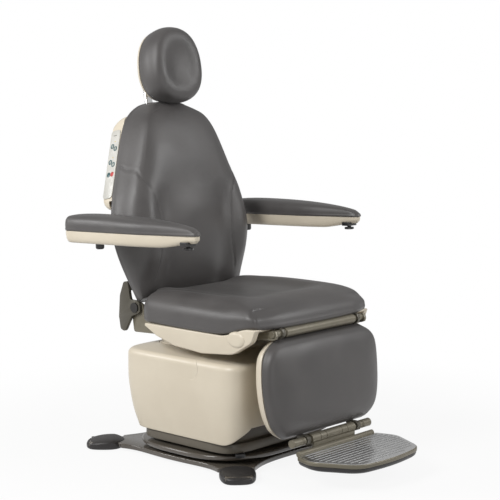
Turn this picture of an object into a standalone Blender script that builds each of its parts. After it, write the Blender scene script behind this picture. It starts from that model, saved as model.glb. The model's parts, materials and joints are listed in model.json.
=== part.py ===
"""Powered examination chair on a swivelling lift base, in metres, +Z up, facing -Y."""
import math

import bmesh
import bpy
from mathutils import Matrix, Vector

# Clearances
SEAT_GAP = 0.0003
RUN_GAP = 0.0004
SLIDE_GAP = 0.0005
COVER_GAP = 0.0018

# Floor base
BASE_HALF_WIDTH = 0.246
BASE_HALF_DEPTH = 0.235
PLATE_BOTTOM = 0.008
PLATE_THICKNESS = 0.014
LEG_ANGLE = math.radians(47.5)
LEG_REACH = 0.412
LEG_WIDTH = 0.078
LEG_SHOULDER = 0.052
LEG_FLARE = 0.060
BOOT_LENGTH = 0.104
BOOT_WIDTH = 0.108
BOOT_HEIGHT = 0.0364
BOOT_SOLE = 0.0024
BOOT_WALL = 0.012

# Swivel bearing and turntable
POST_RADIUS = 0.028
POST_HEIGHT = 0.030
POST_FLANGE = 0.060
POST_FLANGE_HEIGHT = 0.007
RACE_RADIUS = 0.160
RACE_WIDTH = 0.040
RACE_HEIGHT = 0.010
TABLE_HALF_WIDTH = 0.254
TABLE_HALF_DEPTH = 0.228
TABLE_THICKNESS = 0.014
TABLE_Y = -0.025

# Plinth and base cover
PLINTH_LIFT = 0.010
PLINTH_HALF_WIDTH = 0.236
PLINTH_HALF_DEPTH = 0.190
PLINTH_Y = -0.046
PLINTH_HEIGHT = 0.028
PLINTH_WALL = 0.004
APRON_HEIGHT = 0.085
INLET_X = 0.120
INLET_WIDTH = 0.034
INLET_HEIGHT = 0.022
INLET_DEPTH = 0.020
INLET_WALL = 0.006
SOCKET_DEPTH = 0.014
APRON_INSET = 0.016
COVER_HALF_WIDTH = 0.253
COVER_HALF_DEPTH = 0.2335
COVER_Y = -0.0365
COVER_HEIGHT = 0.242
COVER_WALL = 0.0035
COVER_TUCK = 0.011
COVER_LEAN = 0.026
ARCH_DEPTH = 0.056
ARCH_SET_BACK = 0.0125
ARCH_HEIGHT = 0.048

# Swivel lock lever
LEVER_ANGLE = math.radians(-130.0)
LEVER_PIVOT_REACH = 0.232
LEVER_TIP_REACH = 0.308
LEVER_WIDTH = 0.030

# Lift column and shrouds
COLUMN_HALF = 0.075
COLUMN_WALL = 0.004
OUTER_COLUMN_TOP = 0.315
STAGE_STEP = 0.002
SHROUD_HALF_WIDTH = 0.166
SHROUD_HALF_DEPTH = 0.140
SHROUD_WALL = 0.003
SHROUD_Y = 0.000
SHROUD_FLOOR = 0.100
SPINDLE_RADIUS = 0.022
ACTUATOR_FOOT = 0.045
ACTUATOR_FOOT_HEIGHT = 0.018

# Seat
FRAME_BOTTOM = 0.3835
FRAME_DECK = 0.0095
SIDE_PLATE_X = 0.192
SIDE_PLATE = 0.008
SHELL_DECK = 0.006
SEAT_SHELL_HALF = 0.252
SKIRT_THICKNESS = 0.018
SEAT_REAR = 0.092
SEAT_FRONT = -0.338
SEAT_STEP = 0.028
SEAT_RISE_FROM = -0.205
SEAT_RISE_TO = -0.315
SKIRT_DEPTH = 0.056
CUSHION_HEIGHT = 0.086
CUSHION_HALF = 0.268
CUSHION_REAR = 0.134
CUSHION_FRONT = -0.354

# Back hinge, back and its layers
BACK_HINGE = (0.0, 0.175, 0.430)
BACK_TILT = math.radians(12.0)
BACK_FACE = -0.093
BACK_DEPTH = 0.093
BACK_BOTTOM = 0.035
BACK_TOP = 0.596
BACK_SHELL_DEPTH = 0.012
BACK_PLATE = 0.008
BEAM_BOTTOM = 0.052
BEAM_TOP = 0.078
BACK_STATIONS = ((0.0, 0.236), (0.175, 0.259), (0.30, 0.266), (0.40, 0.263), (0.51, 0.248),
                 (0.65, 0.211), (0.826, 0.167), (0.93, 0.132), (1.0, 0.088))
PIN_RADIUS = 0.010
PIN_HEAD = 0.015

# Sync link and its cranks
CRANK_RADIUS = 0.083
CRANK_ANGLE = math.radians(37.5)
CRANK_PIN = 0.006
CRANK_PLATE = 0.010
LINK_X = 0.179
LINK_THICKNESS = 0.014
YOKE_PLAY = 0.0021
YOKE_WALL = 0.010
LINK_BAR_Z = 0.345
LINK_BAR_HEIGHT = 0.014
DRIVE_LENGTH = 0.110

# Rear housing and control panel
HOUSING_BOTTOM = 0.292
HOUSING_TOP = 0.572
HOUSING_HALF_BOTTOM = 0.240
HOUSING_HALF_TOP = 0.130
HOUSING_DEPTH = 0.052
HOUSING_WALL = 0.004
BOARD_INSET = 0.012
BOARD_DRAW = 0.080
BOARD_GAP = 0.010
PANEL_LENGTH = 0.236
PANEL_WIDTH = 0.040
PANEL_THICKNESS = 0.0026
BUTTON_RADIUS = 0.0058
BUTTON_HEIGHT = 0.0019
BUTTON_TRAVEL = 0.0008

# Headrest
HEAD_CENTRE = 0.711
HEAD_HALF_WIDTH = 0.104
HEAD_HALF_HEIGHT = 0.112
HEAD_FACE = -0.136
HEAD_DEPTH = 0.080
HEAD_SHELL_DEPTH = 0.010
HEAD_TILT = math.radians(8.0)
TILT_AXIS_Y = -0.026
POST_Y = 0.0224
HEAD_POST_WIDTH = 0.026
HEAD_POST_DEPTH = 0.008
GUIDE_BOTTOM = 0.400
GUIDE_TOP = 0.560
GUIDE_WALL = 0.003
TILT_PIN = 0.004
BRACKET_EAR = 0.007

# Arms
ARM_X = 0.352
ARM_PIVOT = (0.0265, 0.2364)
ARM_RISE = math.radians(2.0)
ARM_TAIL = 0.034
ARM_LENGTH = 0.522
ARM_HALF_WIDTH = 0.048
ARM_PAD_HEIGHT = 0.036
ARM_PAD_BASE = 0.012
ARM_SHELL_DEPTH = 0.034
ARM_SHELL_WALL = 0.004
ARM_PIN_RADIUS = 0.009
ARM_HUB = 0.023
HUB_DEPTH = 0.0226
HUB_HEIGHT = 0.0216
ARM_STRIP = 0.250
ARM_STRIP_HALF = 0.009
ARM_STRIP_OFFSET = 0.008
ARM_STRIP_BASE = 0.002
ARM_STRIP_TOP = 0.009
RELEASE_RADIUS = 0.0125
RELEASE_TRAVEL = 0.004
RELEASE_Y = {"right": -0.062, "left": -0.032}
KNOB_RADIUS = 0.015
KNOB_INSET = 0.052

# Leg section
LEG_HINGE = (0.0, -0.355, 0.412)
LEG_TILT = math.radians(5.0)
LEG_BAR_RADIUS = 0.010
LEG_FACE = -0.034
LEG_PAD_DEPTH = 0.044
LEG_PAD_TOP = -0.018
LEG_PAD_BOTTOM = -0.288
LEG_STATIONS = ((0.0, 0.186), (0.12, 0.216), (0.30, 0.236), (0.55, 0.246), (0.80, 0.242),
                (0.93, 0.228), (1.0, 0.196))
LEG_SHELL_DEPTH = 0.034
LEG_SHELL_WALL = 0.004
LEG_PLATE = 0.006

# Foot plate
FOOT_AXIS = (-0.020, -0.305)
FOOT_BAR_RADIUS = 0.0095
FOOT_BAR_HALF = 0.172
FOOT_LUG_X = 0.112
FOOT_LUG = 0.014
FOOT_SLEEVE_HALF = 0.096
FOOT_TOP = -0.029
FOOT_RIM = 0.012
FOOT_TREAD = 0.0025
FOOT_UNDER = 0.017
FOOT_REAR = -0.022
FOOT_WAIST = -0.086
FOOT_FRONT = -0.229
FOOT_BOW = 0.018
FOOT_HALF_REAR = 0.178
FOOT_HALF_WAIST = 0.198
FOOT_HALF_FRONT = 0.136

ROUND = 20

# Stack heights that follow from the sizes above
PLATE_TOP = PLATE_BOTTOM + PLATE_THICKNESS
RACE_BOTTOM = PLATE_TOP + SEAT_GAP
TABLE_BOTTOM = RACE_BOTTOM + RACE_HEIGHT + RUN_GAP
TABLE_TOP = TABLE_BOTTOM + TABLE_THICKNESS
PLINTH_BOTTOM = TABLE_TOP + PLINTH_LIFT
PLINTH_FLOOR = PLINTH_BOTTOM + PLINTH_WALL
PLINTH_TOP = PLINTH_BOTTOM + PLINTH_HEIGHT
COVER_BOTTOM = PLINTH_TOP + SEAT_GAP
COVER_TOP = COVER_BOTTOM + COVER_HEIGHT
DECK_TOP = FRAME_BOTTOM + FRAME_DECK
SHELL_TOP = DECK_TOP + SEAT_GAP + SHELL_DECK
CUSHION_BASE = SHELL_TOP + SEAT_GAP
BACK_REAR = BACK_FACE + BACK_DEPTH
BACK_SHELL_FRONT = BACK_REAR + SEAT_GAP
BACK_PLATE_FRONT = BACK_SHELL_FRONT + BACK_SHELL_DEPTH + SEAT_GAP
BACK_PLATE_REAR = BACK_PLATE_FRONT + BACK_PLATE
LEG_REAR = LEG_FACE + LEG_PAD_DEPTH
LEG_SHELL_FRONT = LEG_REAR + SEAT_GAP
LINK_INNER = LINK_X - LINK_THICKNESS / 2
LINK_OUTER = LINK_X + LINK_THICKNESS / 2
CRANK_X = SIDE_PLATE_X + SIDE_PLATE + SLIDE_GAP + CRANK_PLATE / 2
KNUCKLE_X = LINK_INNER - SLIDE_GAP - CRANK_PLATE / 2


def clear_scene():
    for item in list(bpy.data.objects):
        bpy.data.objects.remove(item, do_unlink=True)


def new_collection(name):
    group = bpy.data.collections.new(name)
    bpy.context.scene.collection.children.link(group)
    return group


def finish(name, colour, roughness, metallic=0.0):
    made = bpy.data.materials.new(name)
    made.use_nodes = True
    shader = made.node_tree.nodes["Principled BSDF"]
    shader.inputs["Base Color"].default_value = (*colour, 1.0)
    shader.inputs["Roughness"].default_value = roughness
    shader.inputs["Metallic"].default_value = metallic
    made.diffuse_color = (*colour, 1.0)
    return made


def pivot(name, parent, location=(0, 0, 0), tilt=0.0):
    empty = bpy.data.objects.new(name, None)
    empty.empty_display_size = 0.04
    empty.parent = parent
    empty.location = location
    empty.rotation_euler = (tilt, 0, 0)
    parts.objects.link(empty)
    return empty


# A solid with no finish is a cutter
def add_solid(name, mesh, parent, look, location=(0, 0, 0), turn=(0, 0, 0)):
    made = bpy.data.objects.new(name, mesh)
    made.parent = parent
    made.location = location
    made.rotation_euler = turn
    if look is None:
        cutters.objects.link(made)
        made.hide_render = True
        made.display_type = "WIRE"
    else:
        parts.objects.link(made)
        own = look.copy()
        own.name = name
        mesh.materials.append(own)
    return made


def to_mesh(name, work):
    mesh = bpy.data.meshes.new(name)
    bmesh.ops.recalc_face_normals(work, faces=work.faces)
    work.to_mesh(mesh)
    work.free()
    return mesh


def block(name, parent, look, size, centre, turn=(0, 0, 0)):
    work = bmesh.new()
    bmesh.ops.create_cube(work, size=1.0)
    bmesh.ops.scale(work, vec=size, verts=work.verts)
    return add_solid(name, to_mesh(name, work), parent, look, centre, turn)


# A box given by its low and high corners
def slab(name, parent, look, low, high):
    size = [b - a for a, b in zip(low, high)]
    centre = [(a + b) / 2 for a, b in zip(low, high)]
    return block(name, parent, look, size, centre)


ALONG = {"X": (0, math.pi / 2, 0), "Y": (math.pi / 2, 0, 0), "Z": (0, 0, 0)}
FACING = {"up": (0, 0, 0), "front": (math.pi / 2, 0, 0), "side": (math.pi / 2, 0, math.pi / 2)}


def rod(name, parent, look, radius, length, centre, along="X", sides=ROUND):
    work = bmesh.new()
    bmesh.ops.create_cone(work, cap_ends=True, segments=sides, radius1=radius,
                          radius2=radius, depth=length)
    return add_solid(name, to_mesh(name, work), parent, look, centre, ALONG[along])


# Flat outlines, extruded about their middle
def plate(name, parent, look, outlines, thickness, centre, facing="up"):
    curve = bpy.data.curves.new(name, "CURVE")
    curve.dimensions = "2D"
    curve.fill_mode = "BOTH"
    curve.extrude = thickness / 2
    for outline in outlines:
        line = curve.splines.new("POLY")
        line.points.add(len(outline) - 1)
        for point, (x, y) in zip(line.points, outline):
            point.co = (x, y, 0, 1)
        line.use_cyclic_u = True
    drawn = bpy.data.objects.new(name + "_outline", curve)
    parts.objects.link(drawn)
    graph = bpy.context.evaluated_depsgraph_get()
    mesh = bpy.data.meshes.new_from_object(drawn.evaluated_get(graph))
    bpy.data.objects.remove(drawn, do_unlink=True)
    bpy.data.curves.remove(curve)
    work = bmesh.new()
    work.from_mesh(mesh)
    bmesh.ops.remove_doubles(work, verts=work.verts, dist=1e-6)
    bpy.data.meshes.remove(mesh)
    return add_solid(name, to_mesh(name, work), parent, look, centre, FACING[facing])


# A turned piece: (radius, height) from the top down its outer side
def turned(name, parent, look, profile, centre, along="Z", closed=False, steps=ROUND):
    work = bmesh.new()
    points = [work.verts.new((radius, 0, height)) for radius, height in profile]
    for first, second in zip(points, points[1:]):
        work.edges.new((first, second))
    if closed:
        work.edges.new((points[-1], points[0]))
    mesh = bpy.data.meshes.new(name)
    work.to_mesh(mesh)
    work.free()
    made = add_solid(name, mesh, parent, look, centre, ALONG[along])
    screw = made.modifiers.new("turn", "SCREW")
    screw.steps = steps
    screw.render_steps = steps
    screw.use_merge_vertices = True
    screw.merge_threshold = 0.00005
    screw.use_smooth_shade = False
    return made


# Rings of equal count joined into a skin
def loft(name, parent, look, rings, caps=(False, False)):
    work = bmesh.new()
    rows = [[work.verts.new(point) for point in ring] for ring in rings]
    for low, high in zip(rows, rows[1:]):
        for i in range(len(low)):
            j = (i + 1) % len(low)
            work.faces.new((low[i], low[j], high[j], high[i]))
    if caps[0]:
        work.faces.new(list(reversed(rows[0])))
    if caps[1]:
        work.faces.new(rows[-1])
    return add_solid(name, to_mesh(name, work), parent, look)


# A box of cells moved onto a form, then rounded
def soft_form(name, parent, look, cells, form, location=(0, 0, 0), turn=(0, 0, 0)):
    work = bmesh.new()
    bmesh.ops.create_cube(work, size=2.0)
    for axis, count in enumerate(cells):
        for i in range(1, count):
            level = Vector((0, 0, 0))
            level[axis] = -1 + 2 * i / count
            normal = Vector((0, 0, 0))
            normal[axis] = 1
            everything = work.verts[:] + work.edges[:] + work.faces[:]
            bmesh.ops.bisect_plane(work, geom=everything, plane_co=level, plane_no=normal)
    for vert in work.verts:
        vert.co = form(*vert.co)
    made = add_solid(name, to_mesh(name, work), parent, look, location, turn)
    smooth = made.modifiers.new("round", "SUBSURF")
    smooth.levels = 1
    smooth.render_levels = 1
    return made


def combine(target, tool, operation):
    join = target.modifiers.new(operation.lower(), "BOOLEAN")
    join.operation = operation
    join.solver = "EXACT"
    join.object = tool
    return target


def cut(target, *tools):
    for tool in tools:
        combine(target, tool, "DIFFERENCE")
    return target


def add(target, *tools):
    for tool in tools:
        combine(target, tool, "UNION")
    return target


def hollow(target, thickness):
    wall = target.modifiers.new("wall", "SOLIDIFY")
    wall.thickness = thickness
    wall.offset = -1
    wall.use_even_offset = True
    return target


def soften(target, width, segments=1):
    edge = target.modifiers.new("edge", "BEVEL")
    edge.width = width
    edge.segments = segments
    edge.limit_method = "ANGLE"
    edge.angle_limit = math.radians(50)
    return target


def superellipse(half_x, half_y, power, count, centre=(0, 0)):
    points = []
    for i in range(count):
        angle = 2 * math.pi * (i + 0.5) / count
        c, s = math.cos(angle), math.sin(angle)
        x = half_x * math.copysign(abs(c) ** (2 / power), c)
        y = half_y * math.copysign(abs(s) ** (2 / power), s)
        points.append((centre[0] + x, centre[1] + y))
    return points


def circle(radius, centre=(0, 0), count=ROUND):
    return superellipse(radius, radius, 2, count, centre)


# Corners (x, y, radius) joined by straight sides
def rounded(corners, steps=2):
    points = []
    count = len(corners)
    for i, (x, y, radius) in enumerate(corners):
        here = Vector((x, y))
        before = Vector(corners[i - 1][:2])
        after = Vector(corners[(i + 1) % count][:2])
        into = (before - here).normalized()
        away = (after - here).normalized()
        half = into.angle(away) / 2
        if radius == 0 or abs(half - math.pi / 2) < 0.02:
            points.append((x, y))
            continue
        reach = radius / math.tan(half)
        start, end = here + into * reach, here + away * reach
        for k in range(steps + 1):
            t = k / steps
            bend = start * (1 - t) ** 2 + here * 2 * t * (1 - t) + end * t ** 2
            points.append(tuple(bend))
    return points


def bezier(p0, p1, p2, p3, steps):
    made = []
    for k in range(steps):
        t = k / steps
        s = 1 - t
        made.append(p0 * s ** 3 + p1 * 3 * s * s * t + p2 * 3 * s * t * t + p3 * t ** 3)
    return made


def smoothstep(t):
    t = min(max(t, 0.0), 1.0)
    return t * t * (3 - 2 * t)


# Half width at a fraction of the height, smooth through named stations
def along_stations(stations, t):
    t = min(max(t, 0.0), 1.0)
    for i in range(len(stations) - 1):
        if t <= stations[i + 1][0]:
            break
    before = stations[max(i - 1, 0)]
    first, second = stations[i], stations[i + 1]
    after = stations[min(i + 2, len(stations) - 1)]
    span = second[0] - first[0]
    k = (t - first[0]) / span
    slope_a = (second[1] - before[1]) / (second[0] - before[0]) * span
    slope_b = (after[1] - first[1]) / (after[0] - first[0]) * span
    return (first[1] * (2 * k ** 3 - 3 * k * k + 1) + second[1] * (3 * k * k - 2 * k ** 3)
            + slope_a * (k ** 3 - 2 * k * k + k) + slope_b * (k ** 3 - k * k))


# Outline of a padded section from its stations, bottom to top
def station_outline(stations, low, high, inset, count):
    side = []
    for i in range(count + 1):
        t = i / count
        side.append((along_stations(stations, t) - inset, low + inset + (high - low - 2 * inset) * t))
    return side + [(-x, z) for x, z in reversed(side)]


def leg_way(reach, across, angle):
    out = Vector((math.cos(angle), math.sin(angle)))
    return out * reach + Vector((-out.y, out.x)) * across


def base_outline():
    root = LEG_REACH + BOOT_WALL - BOOT_LENGTH - 0.004
    half = LEG_WIDTH / 2
    out = leg_way(1, 0, LEG_ANGLE)
    near = leg_way(root, -LEG_SHOULDER, LEG_ANGLE)
    far = leg_way(root, LEG_SHOULDER, LEG_ANGLE)
    side = Vector((BASE_HALF_WIDTH, 0))
    front = Vector((0, BASE_HALF_DEPTH))
    near_flare = (out + Vector((0, 1))).normalized() * LEG_FLARE
    far_flare = (out + Vector((1, 0))).normalized() * LEG_FLARE
    corner = bezier(side, Vector((BASE_HALF_WIDTH, 0.5 * near.y)), near - near_flare, near, 5)
    corner += [near] + [leg_way(reach, across, LEG_ANGLE) for reach, across in
                        ((root, -half), (LEG_REACH, -half), (LEG_REACH, half), (root, half))]
    corner += bezier(far, far - far_flare, Vector((0.5 * far.x, BASE_HALF_DEPTH)), front, 5)
    corner.append(front)
    first = [(p.x, p.y) for p in corner]
    second = [(-x, y) for x, y in reversed(first[:-1])]
    third = [(-x, -y) for x, y in first[1:]]
    fourth = [(x, -y) for x, y in reversed(first[1:-1])]
    return first + second + third + fourth


def floor_base():
    body = pivot("floor_frame", root)
    plate("base_plate", body, base_paint, [base_outline()], PLATE_THICKNESS,
          (0, 0, PLATE_BOTTOM + PLATE_THICKNESS / 2))

    def boot_form(u, v, w):
        outer = max(u, 0)
        x = u * BOOT_LENGTH / 2
        y = v * BOOT_WIDTH / 2 * (1 - 0.22 * outer)
        z = (w + 1) / 2 * BOOT_HEIGHT * (1 - 0.34 * outer * outer) * (1 - 0.10 * v * v)
        return Vector((x * (1 - 0.10 * v * v), y, z))

    middle = LEG_REACH + BOOT_WALL - BOOT_LENGTH / 2
    ways = {"front_left": -LEG_ANGLE, "rear_left": LEG_ANGLE,
            "front_right": math.pi + LEG_ANGLE, "rear_right": math.pi - LEG_ANGLE}
    for place, angle in ways.items():
        spot = leg_way(middle, 0, angle)
        boot = soft_form("leg_boot_" + place, body, boot_rubber, (2, 2, 2), boot_form,
                         (spot.x, spot.y, -BOOT_SOLE), (0, 0, angle))
        pocket_end = BOOT_LENGTH / 2 - BOOT_WALL + SEAT_GAP
        pocket = slab("boot_pocket_" + place, boot, None,
                      (-BOOT_LENGTH, -LEG_WIDTH / 2 - SEAT_GAP, BOOT_SOLE + PLATE_BOTTOM - SEAT_GAP),
                      (pocket_end, LEG_WIDTH / 2 + SEAT_GAP, BOOT_SOLE + PLATE_TOP + SEAT_GAP))
        ground = slab("boot_ground_" + place, boot, None, (-BOOT_LENGTH, -BOOT_LENGTH, -BOOT_LENGTH),
                      (BOOT_LENGTH, BOOT_LENGTH, BOOT_SOLE))
        cut(boot, pocket, ground)

    turned("swivel_post", body, steel,
           [(0, POST_HEIGHT), (POST_RADIUS, POST_HEIGHT), (POST_RADIUS, POST_FLANGE_HEIGHT),
            (POST_FLANGE, POST_FLANGE_HEIGHT), (POST_FLANGE, 0), (0, 0)],
           (0, 0, PLATE_TOP + SEAT_GAP))
    turned("swivel_race", body, steel,
           [(RACE_RADIUS, RACE_HEIGHT), (RACE_RADIUS, 0), (RACE_RADIUS - RACE_WIDTH, 0),
            (RACE_RADIUS - RACE_WIDTH, RACE_HEIGHT)],
           (0, 0, RACE_BOTTOM), closed=True, steps=28)


def turntable_group():
    body = pivot("swivel_axis", root)
    outline = superellipse(TABLE_HALF_WIDTH, TABLE_HALF_DEPTH, 3.0, 32, (0, TABLE_Y))
    table = plate("turntable", body, base_paint, [outline, circle(POST_RADIUS + RUN_GAP)],
                  TABLE_THICKNESS, (0, 0, TABLE_BOTTOM + TABLE_THICKNESS / 2))
    soften(table, 0.005)
    spot = leg_way(LEVER_PIVOT_REACH, 0, LEVER_ANGLE)
    stub = rod("lever_stub", body, None, 0.007, 0.010, (spot.x, spot.y, TABLE_TOP + 0.003), "Z", 16)
    add(table, stub)

    # Plinth pan: a wide skirt, a narrower wall inside the cover and a spacer below
    def ring(inset):
        return superellipse(PLINTH_HALF_WIDTH - inset, PLINTH_HALF_DEPTH - inset, 7, 32, (0, PLINTH_Y))
    pan = plate("plinth_pan", body, plinth_paint, [ring(0)], PLINTH_HEIGHT,
                (0, 0, PLINTH_BOTTOM + PLINTH_HEIGHT / 2))
    wall_top = PLINTH_TOP + APRON_HEIGHT
    wall_low = PLINTH_BOTTOM + 0.001
    add(pan, plate("pan_wall", body, None, [ring(APRON_INSET)], wall_top - wall_low,
                   (0, 0, (wall_top + wall_low) / 2)))
    spacer_height = PLINTH_LIFT + PLINTH_WALL / 2 - SEAT_GAP
    add(pan, plate("pan_spacer", body, None, [superellipse(0.13, 0.12, 4, 20)], spacer_height,
                   (0, 0, TABLE_TOP + SEAT_GAP + spacer_height / 2)))
    cut(pan, plate("pan_well", body, None, [ring(APRON_INSET + PLINTH_WALL)], 0.200,
                   (0, 0, PLINTH_FLOOR + 0.100)))
    cut(pan, slab("pan_rear_gap", body, None, (-0.3, SHROUD_Y + 0.080, PLINTH_TOP + 0.003),
                  (0.3, SHROUD_Y + 0.300, wall_top + 0.01)))
    cut(pan, rod("pan_post_hole", body, None, POST_RADIUS + 0.002, PLINTH_LIFT,
                 (0, 0, TABLE_TOP + PLINTH_LIFT / 2 - 0.001), "Z"))
    inlet_z = PLINTH_BOTTOM + PLINTH_HEIGHT / 2
    inlet_front = PLINTH_Y + PLINTH_HALF_DEPTH + SEAT_GAP
    inlet_rear = inlet_front + INLET_DEPTH
    wide, tall = INLET_WIDTH / 2, INLET_HEIGHT / 2
    inlet = slab("power_inlet", body, black, (INLET_X - wide, inlet_front, inlet_z - tall),
                 (INLET_X + wide, inlet_rear, inlet_z + tall))
    wide, tall = wide - INLET_WALL, tall - INLET_WALL
    cut(inlet, slab("inlet_socket", body, None, (INLET_X - wide, inlet_rear - SOCKET_DEPTH, inlet_z - tall),
                    (INLET_X + wide, inlet_rear + SOCKET_DEPTH, inlet_z + tall)))

    # Moulded cover: side rings, shoulder, then the ledge round the shroud opening
    rings = []
    count = 28
    levels = ((0.0, COVER_TUCK, 1.0), (0.22, COVER_TUCK * 0.45, 0.45), (0.55, 0.0, 0.08),
              (0.88, 0.0, 0.0), (0.932, 0.004, 0.0), (0.958, 0.016, 0.0))
    for height, tuck, lean in levels:
        half_y = COVER_HALF_DEPTH - tuck - lean * COVER_LEAN / 2
        middle = COVER_Y - lean * COVER_LEAN / 2
        outline = superellipse(COVER_HALF_WIDTH - tuck, half_y, 9, count, (0, middle))
        rings.append([(x, y, COVER_BOTTOM + COVER_HEIGHT * height) for x, y in outline])
    opening = superellipse(SHROUD_HALF_WIDTH + COVER_GAP, SHROUD_HALF_DEPTH + COVER_GAP, 8,
                           count, (0, SHROUD_Y))
    rings.append([(x, y, COVER_TOP) for x, y in opening])
    cover = hollow(loft("base_cover", body, ivory, rings), COVER_WALL)
    nose = COVER_Y - COVER_HALF_DEPTH + ARCH_SET_BACK
    sweep = []
    for k in range(6):
        turn = math.pi / 2 * k / 5
        sweep.append((nose + ARCH_DEPTH * (1 - math.sin(turn)),
                      COVER_BOTTOM + ARCH_HEIGHT * (1 - math.cos(turn))))
    arch = [(nose - 0.05, COVER_BOTTOM - 0.01), (nose + ARCH_DEPTH, COVER_BOTTOM - 0.01)] + sweep
    arch.append((nose - 0.05, COVER_BOTTOM + ARCH_HEIGHT))
    cut(cover, plate("cover_arch", body, None, [arch], COVER_HALF_WIDTH * 2.8, (0, 0, 0), "side"))

    half = COLUMN_HALF
    tube = [superellipse(half, half, 12, 20), superellipse(half - COLUMN_WALL, half - COLUMN_WALL, 12, 20)]
    low = PLINTH_FLOOR + SEAT_GAP
    plate("column_outer", body, steel, tube, OUTER_COLUMN_TOP - low,
          (0, SHROUD_Y, (low + OUTER_COLUMN_TOP) / 2))
    height = OUTER_COLUMN_TOP - low - 0.015
    turned("lift_actuator", body, black,
           [(0, height), (SPINDLE_RADIUS, height), (SPINDLE_RADIUS, ACTUATOR_FOOT_HEIGHT),
            (ACTUATOR_FOOT, ACTUATOR_FOOT_HEIGHT), (ACTUATOR_FOOT, 0), (0, 0)],
           (0, SHROUD_Y, low))

    lever_axis = pivot("lever_axis", body, (spot.x, spot.y, 0))
    lever_axis.rotation_euler = (0, 0, LEVER_ANGLE)
    reach = LEVER_TIP_REACH - LEVER_PIVOT_REACH
    half = LEVER_WIDTH / 2
    arm = rounded([(-half, -half, half * 0.8), (reach * 0.4, -half * 0.7, 0.006), (reach, -half, 0.006),
                   (reach, half, 0.006), (reach * 0.4, half * 0.7, 0.006), (-half, half, half * 0.8)])
    bottom, top = TABLE_TOP + RUN_GAP, PLINTH_BOTTOM - RUN_GAP
    plate("swivel_lock_lever", lever_axis, black, [arm, circle(0.007 + RUN_GAP, count=16)],
          top - bottom, (0, 0, (bottom + top) / 2))


def lift_stages():
    middle_half = COLUMN_HALF - COLUMN_WALL - RUN_GAP
    low = PLINTH_FLOOR + SEAT_GAP + STAGE_STEP
    body = pivot("middle_stage_axis", root)
    tube = [superellipse(middle_half, middle_half, 12, 20),
            superellipse(middle_half - COLUMN_WALL, middle_half - COLUMN_WALL, 12, 20)]
    top = OUTER_COLUMN_TOP + 0.008
    plate("column_middle", body, steel, tube, top - low, (0, SHROUD_Y, (low + top) / 2))
    sleeve = [superellipse(SHROUD_HALF_WIDTH, SHROUD_HALF_DEPTH, 8, 32),
              superellipse(SHROUD_HALF_WIDTH - SHROUD_WALL, SHROUD_HALF_DEPTH - SHROUD_WALL, 8, 32)]
    top = COVER_TOP + 0.002
    plate("middle_shroud", body, ivory, sleeve, top - SHROUD_FLOOR,
          (0, SHROUD_Y, (top + SHROUD_FLOOR) / 2))

    body = pivot("lift_axis", root)
    inner_half = middle_half - COLUMN_WALL - RUN_GAP
    tube = [superellipse(inner_half, inner_half, 12, 20),
            superellipse(inner_half - COLUMN_WALL, inner_half - COLUMN_WALL, 12, 20)]
    low += STAGE_STEP
    top = FRAME_BOTTOM - SEAT_GAP
    plate("column_inner", body, steel, tube, top - low, (0, SHROUD_Y, (low + top) / 2))
    wide = SHROUD_HALF_WIDTH - SHROUD_WALL - SLIDE_GAP
    deep = SHROUD_HALF_DEPTH - SHROUD_WALL - SLIDE_GAP
    sleeve = [superellipse(wide, deep, 8, 32), superellipse(wide - SHROUD_WALL, deep - SHROUD_WALL, 8, 32)]
    low = SHROUD_FLOOR + STAGE_STEP
    plate("upper_shroud", body, ivory, sleeve, top - low, (0, SHROUD_Y, (low + top) / 2))
    return body


# Steel side plates with round lugs at both hinges, tied by a deck
def seat_frame(body):
    _, back_y, back_z = BACK_HINGE
    _, leg_y, leg_z = LEG_HINGE
    lug = LEG_BAR_RADIUS + 0.005
    boss = PIN_RADIUS + 0.013
    under = FRAME_BOTTOM - 0.010
    sweep = back_z - CRANK_RADIUS + CRANK_PIN
    deck_half = SIDE_PLATE_X + SIDE_PLATE / 2
    frame = slab("seat_frame", body, taupe, (-deck_half, SEAT_RISE_FROM + 0.010, FRAME_BOTTOM),
                 (deck_half, SEAT_REAR - 0.010, DECK_TOP - 0.001))
    for place, side, heel in (("right", -1, 0.0), ("left", 1, 0.022)):
        profile = rounded([
            (leg_y - lug, leg_z - lug, lug * 0.9), (SEAT_RISE_TO + 0.020, leg_z - lug * 1.3, 0.006),
            (SEAT_RISE_FROM, under, 0.010), (SEAT_REAR - 0.010, under, 0.008),
            (SEAT_REAR + 0.006, sweep + 0.006 + heel, 0.006), (back_y + 0.014, sweep + 0.002 + heel, 0.008),
            (back_y + boss, back_z - boss * 0.7, boss * 0.5), (back_y + boss, back_z + boss, boss * 0.9),
            (back_y - boss, back_z + boss * 0.5, boss * 0.6), (CUSHION_REAR + 0.004, DECK_TOP, 0.004),
            (SEAT_RISE_FROM - 0.030, DECK_TOP, 0.010),
            (SEAT_RISE_TO, DECK_TOP + SEAT_STEP * 0.70, 0.006), (leg_y - lug, leg_z + lug, lug * 0.9)])
        holes = [circle(LEG_BAR_RADIUS + RUN_GAP, (leg_y, leg_z)),
                 circle(PIN_RADIUS + RUN_GAP, (back_y, back_z))]
        centre = (side * (SIDE_PLATE_X + SIDE_PLATE / 2), 0, 0)
        add(frame, plate("frame_side_" + place, body, None, [profile] + holes, SIDE_PLATE, centre, "side"))
    return frame


# Height that the deck and the cushion gain towards the front
def deck_rise(y):
    return SEAT_STEP * smoothstep((SEAT_RISE_FROM - y) / (SEAT_RISE_FROM - SEAT_RISE_TO))


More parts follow.
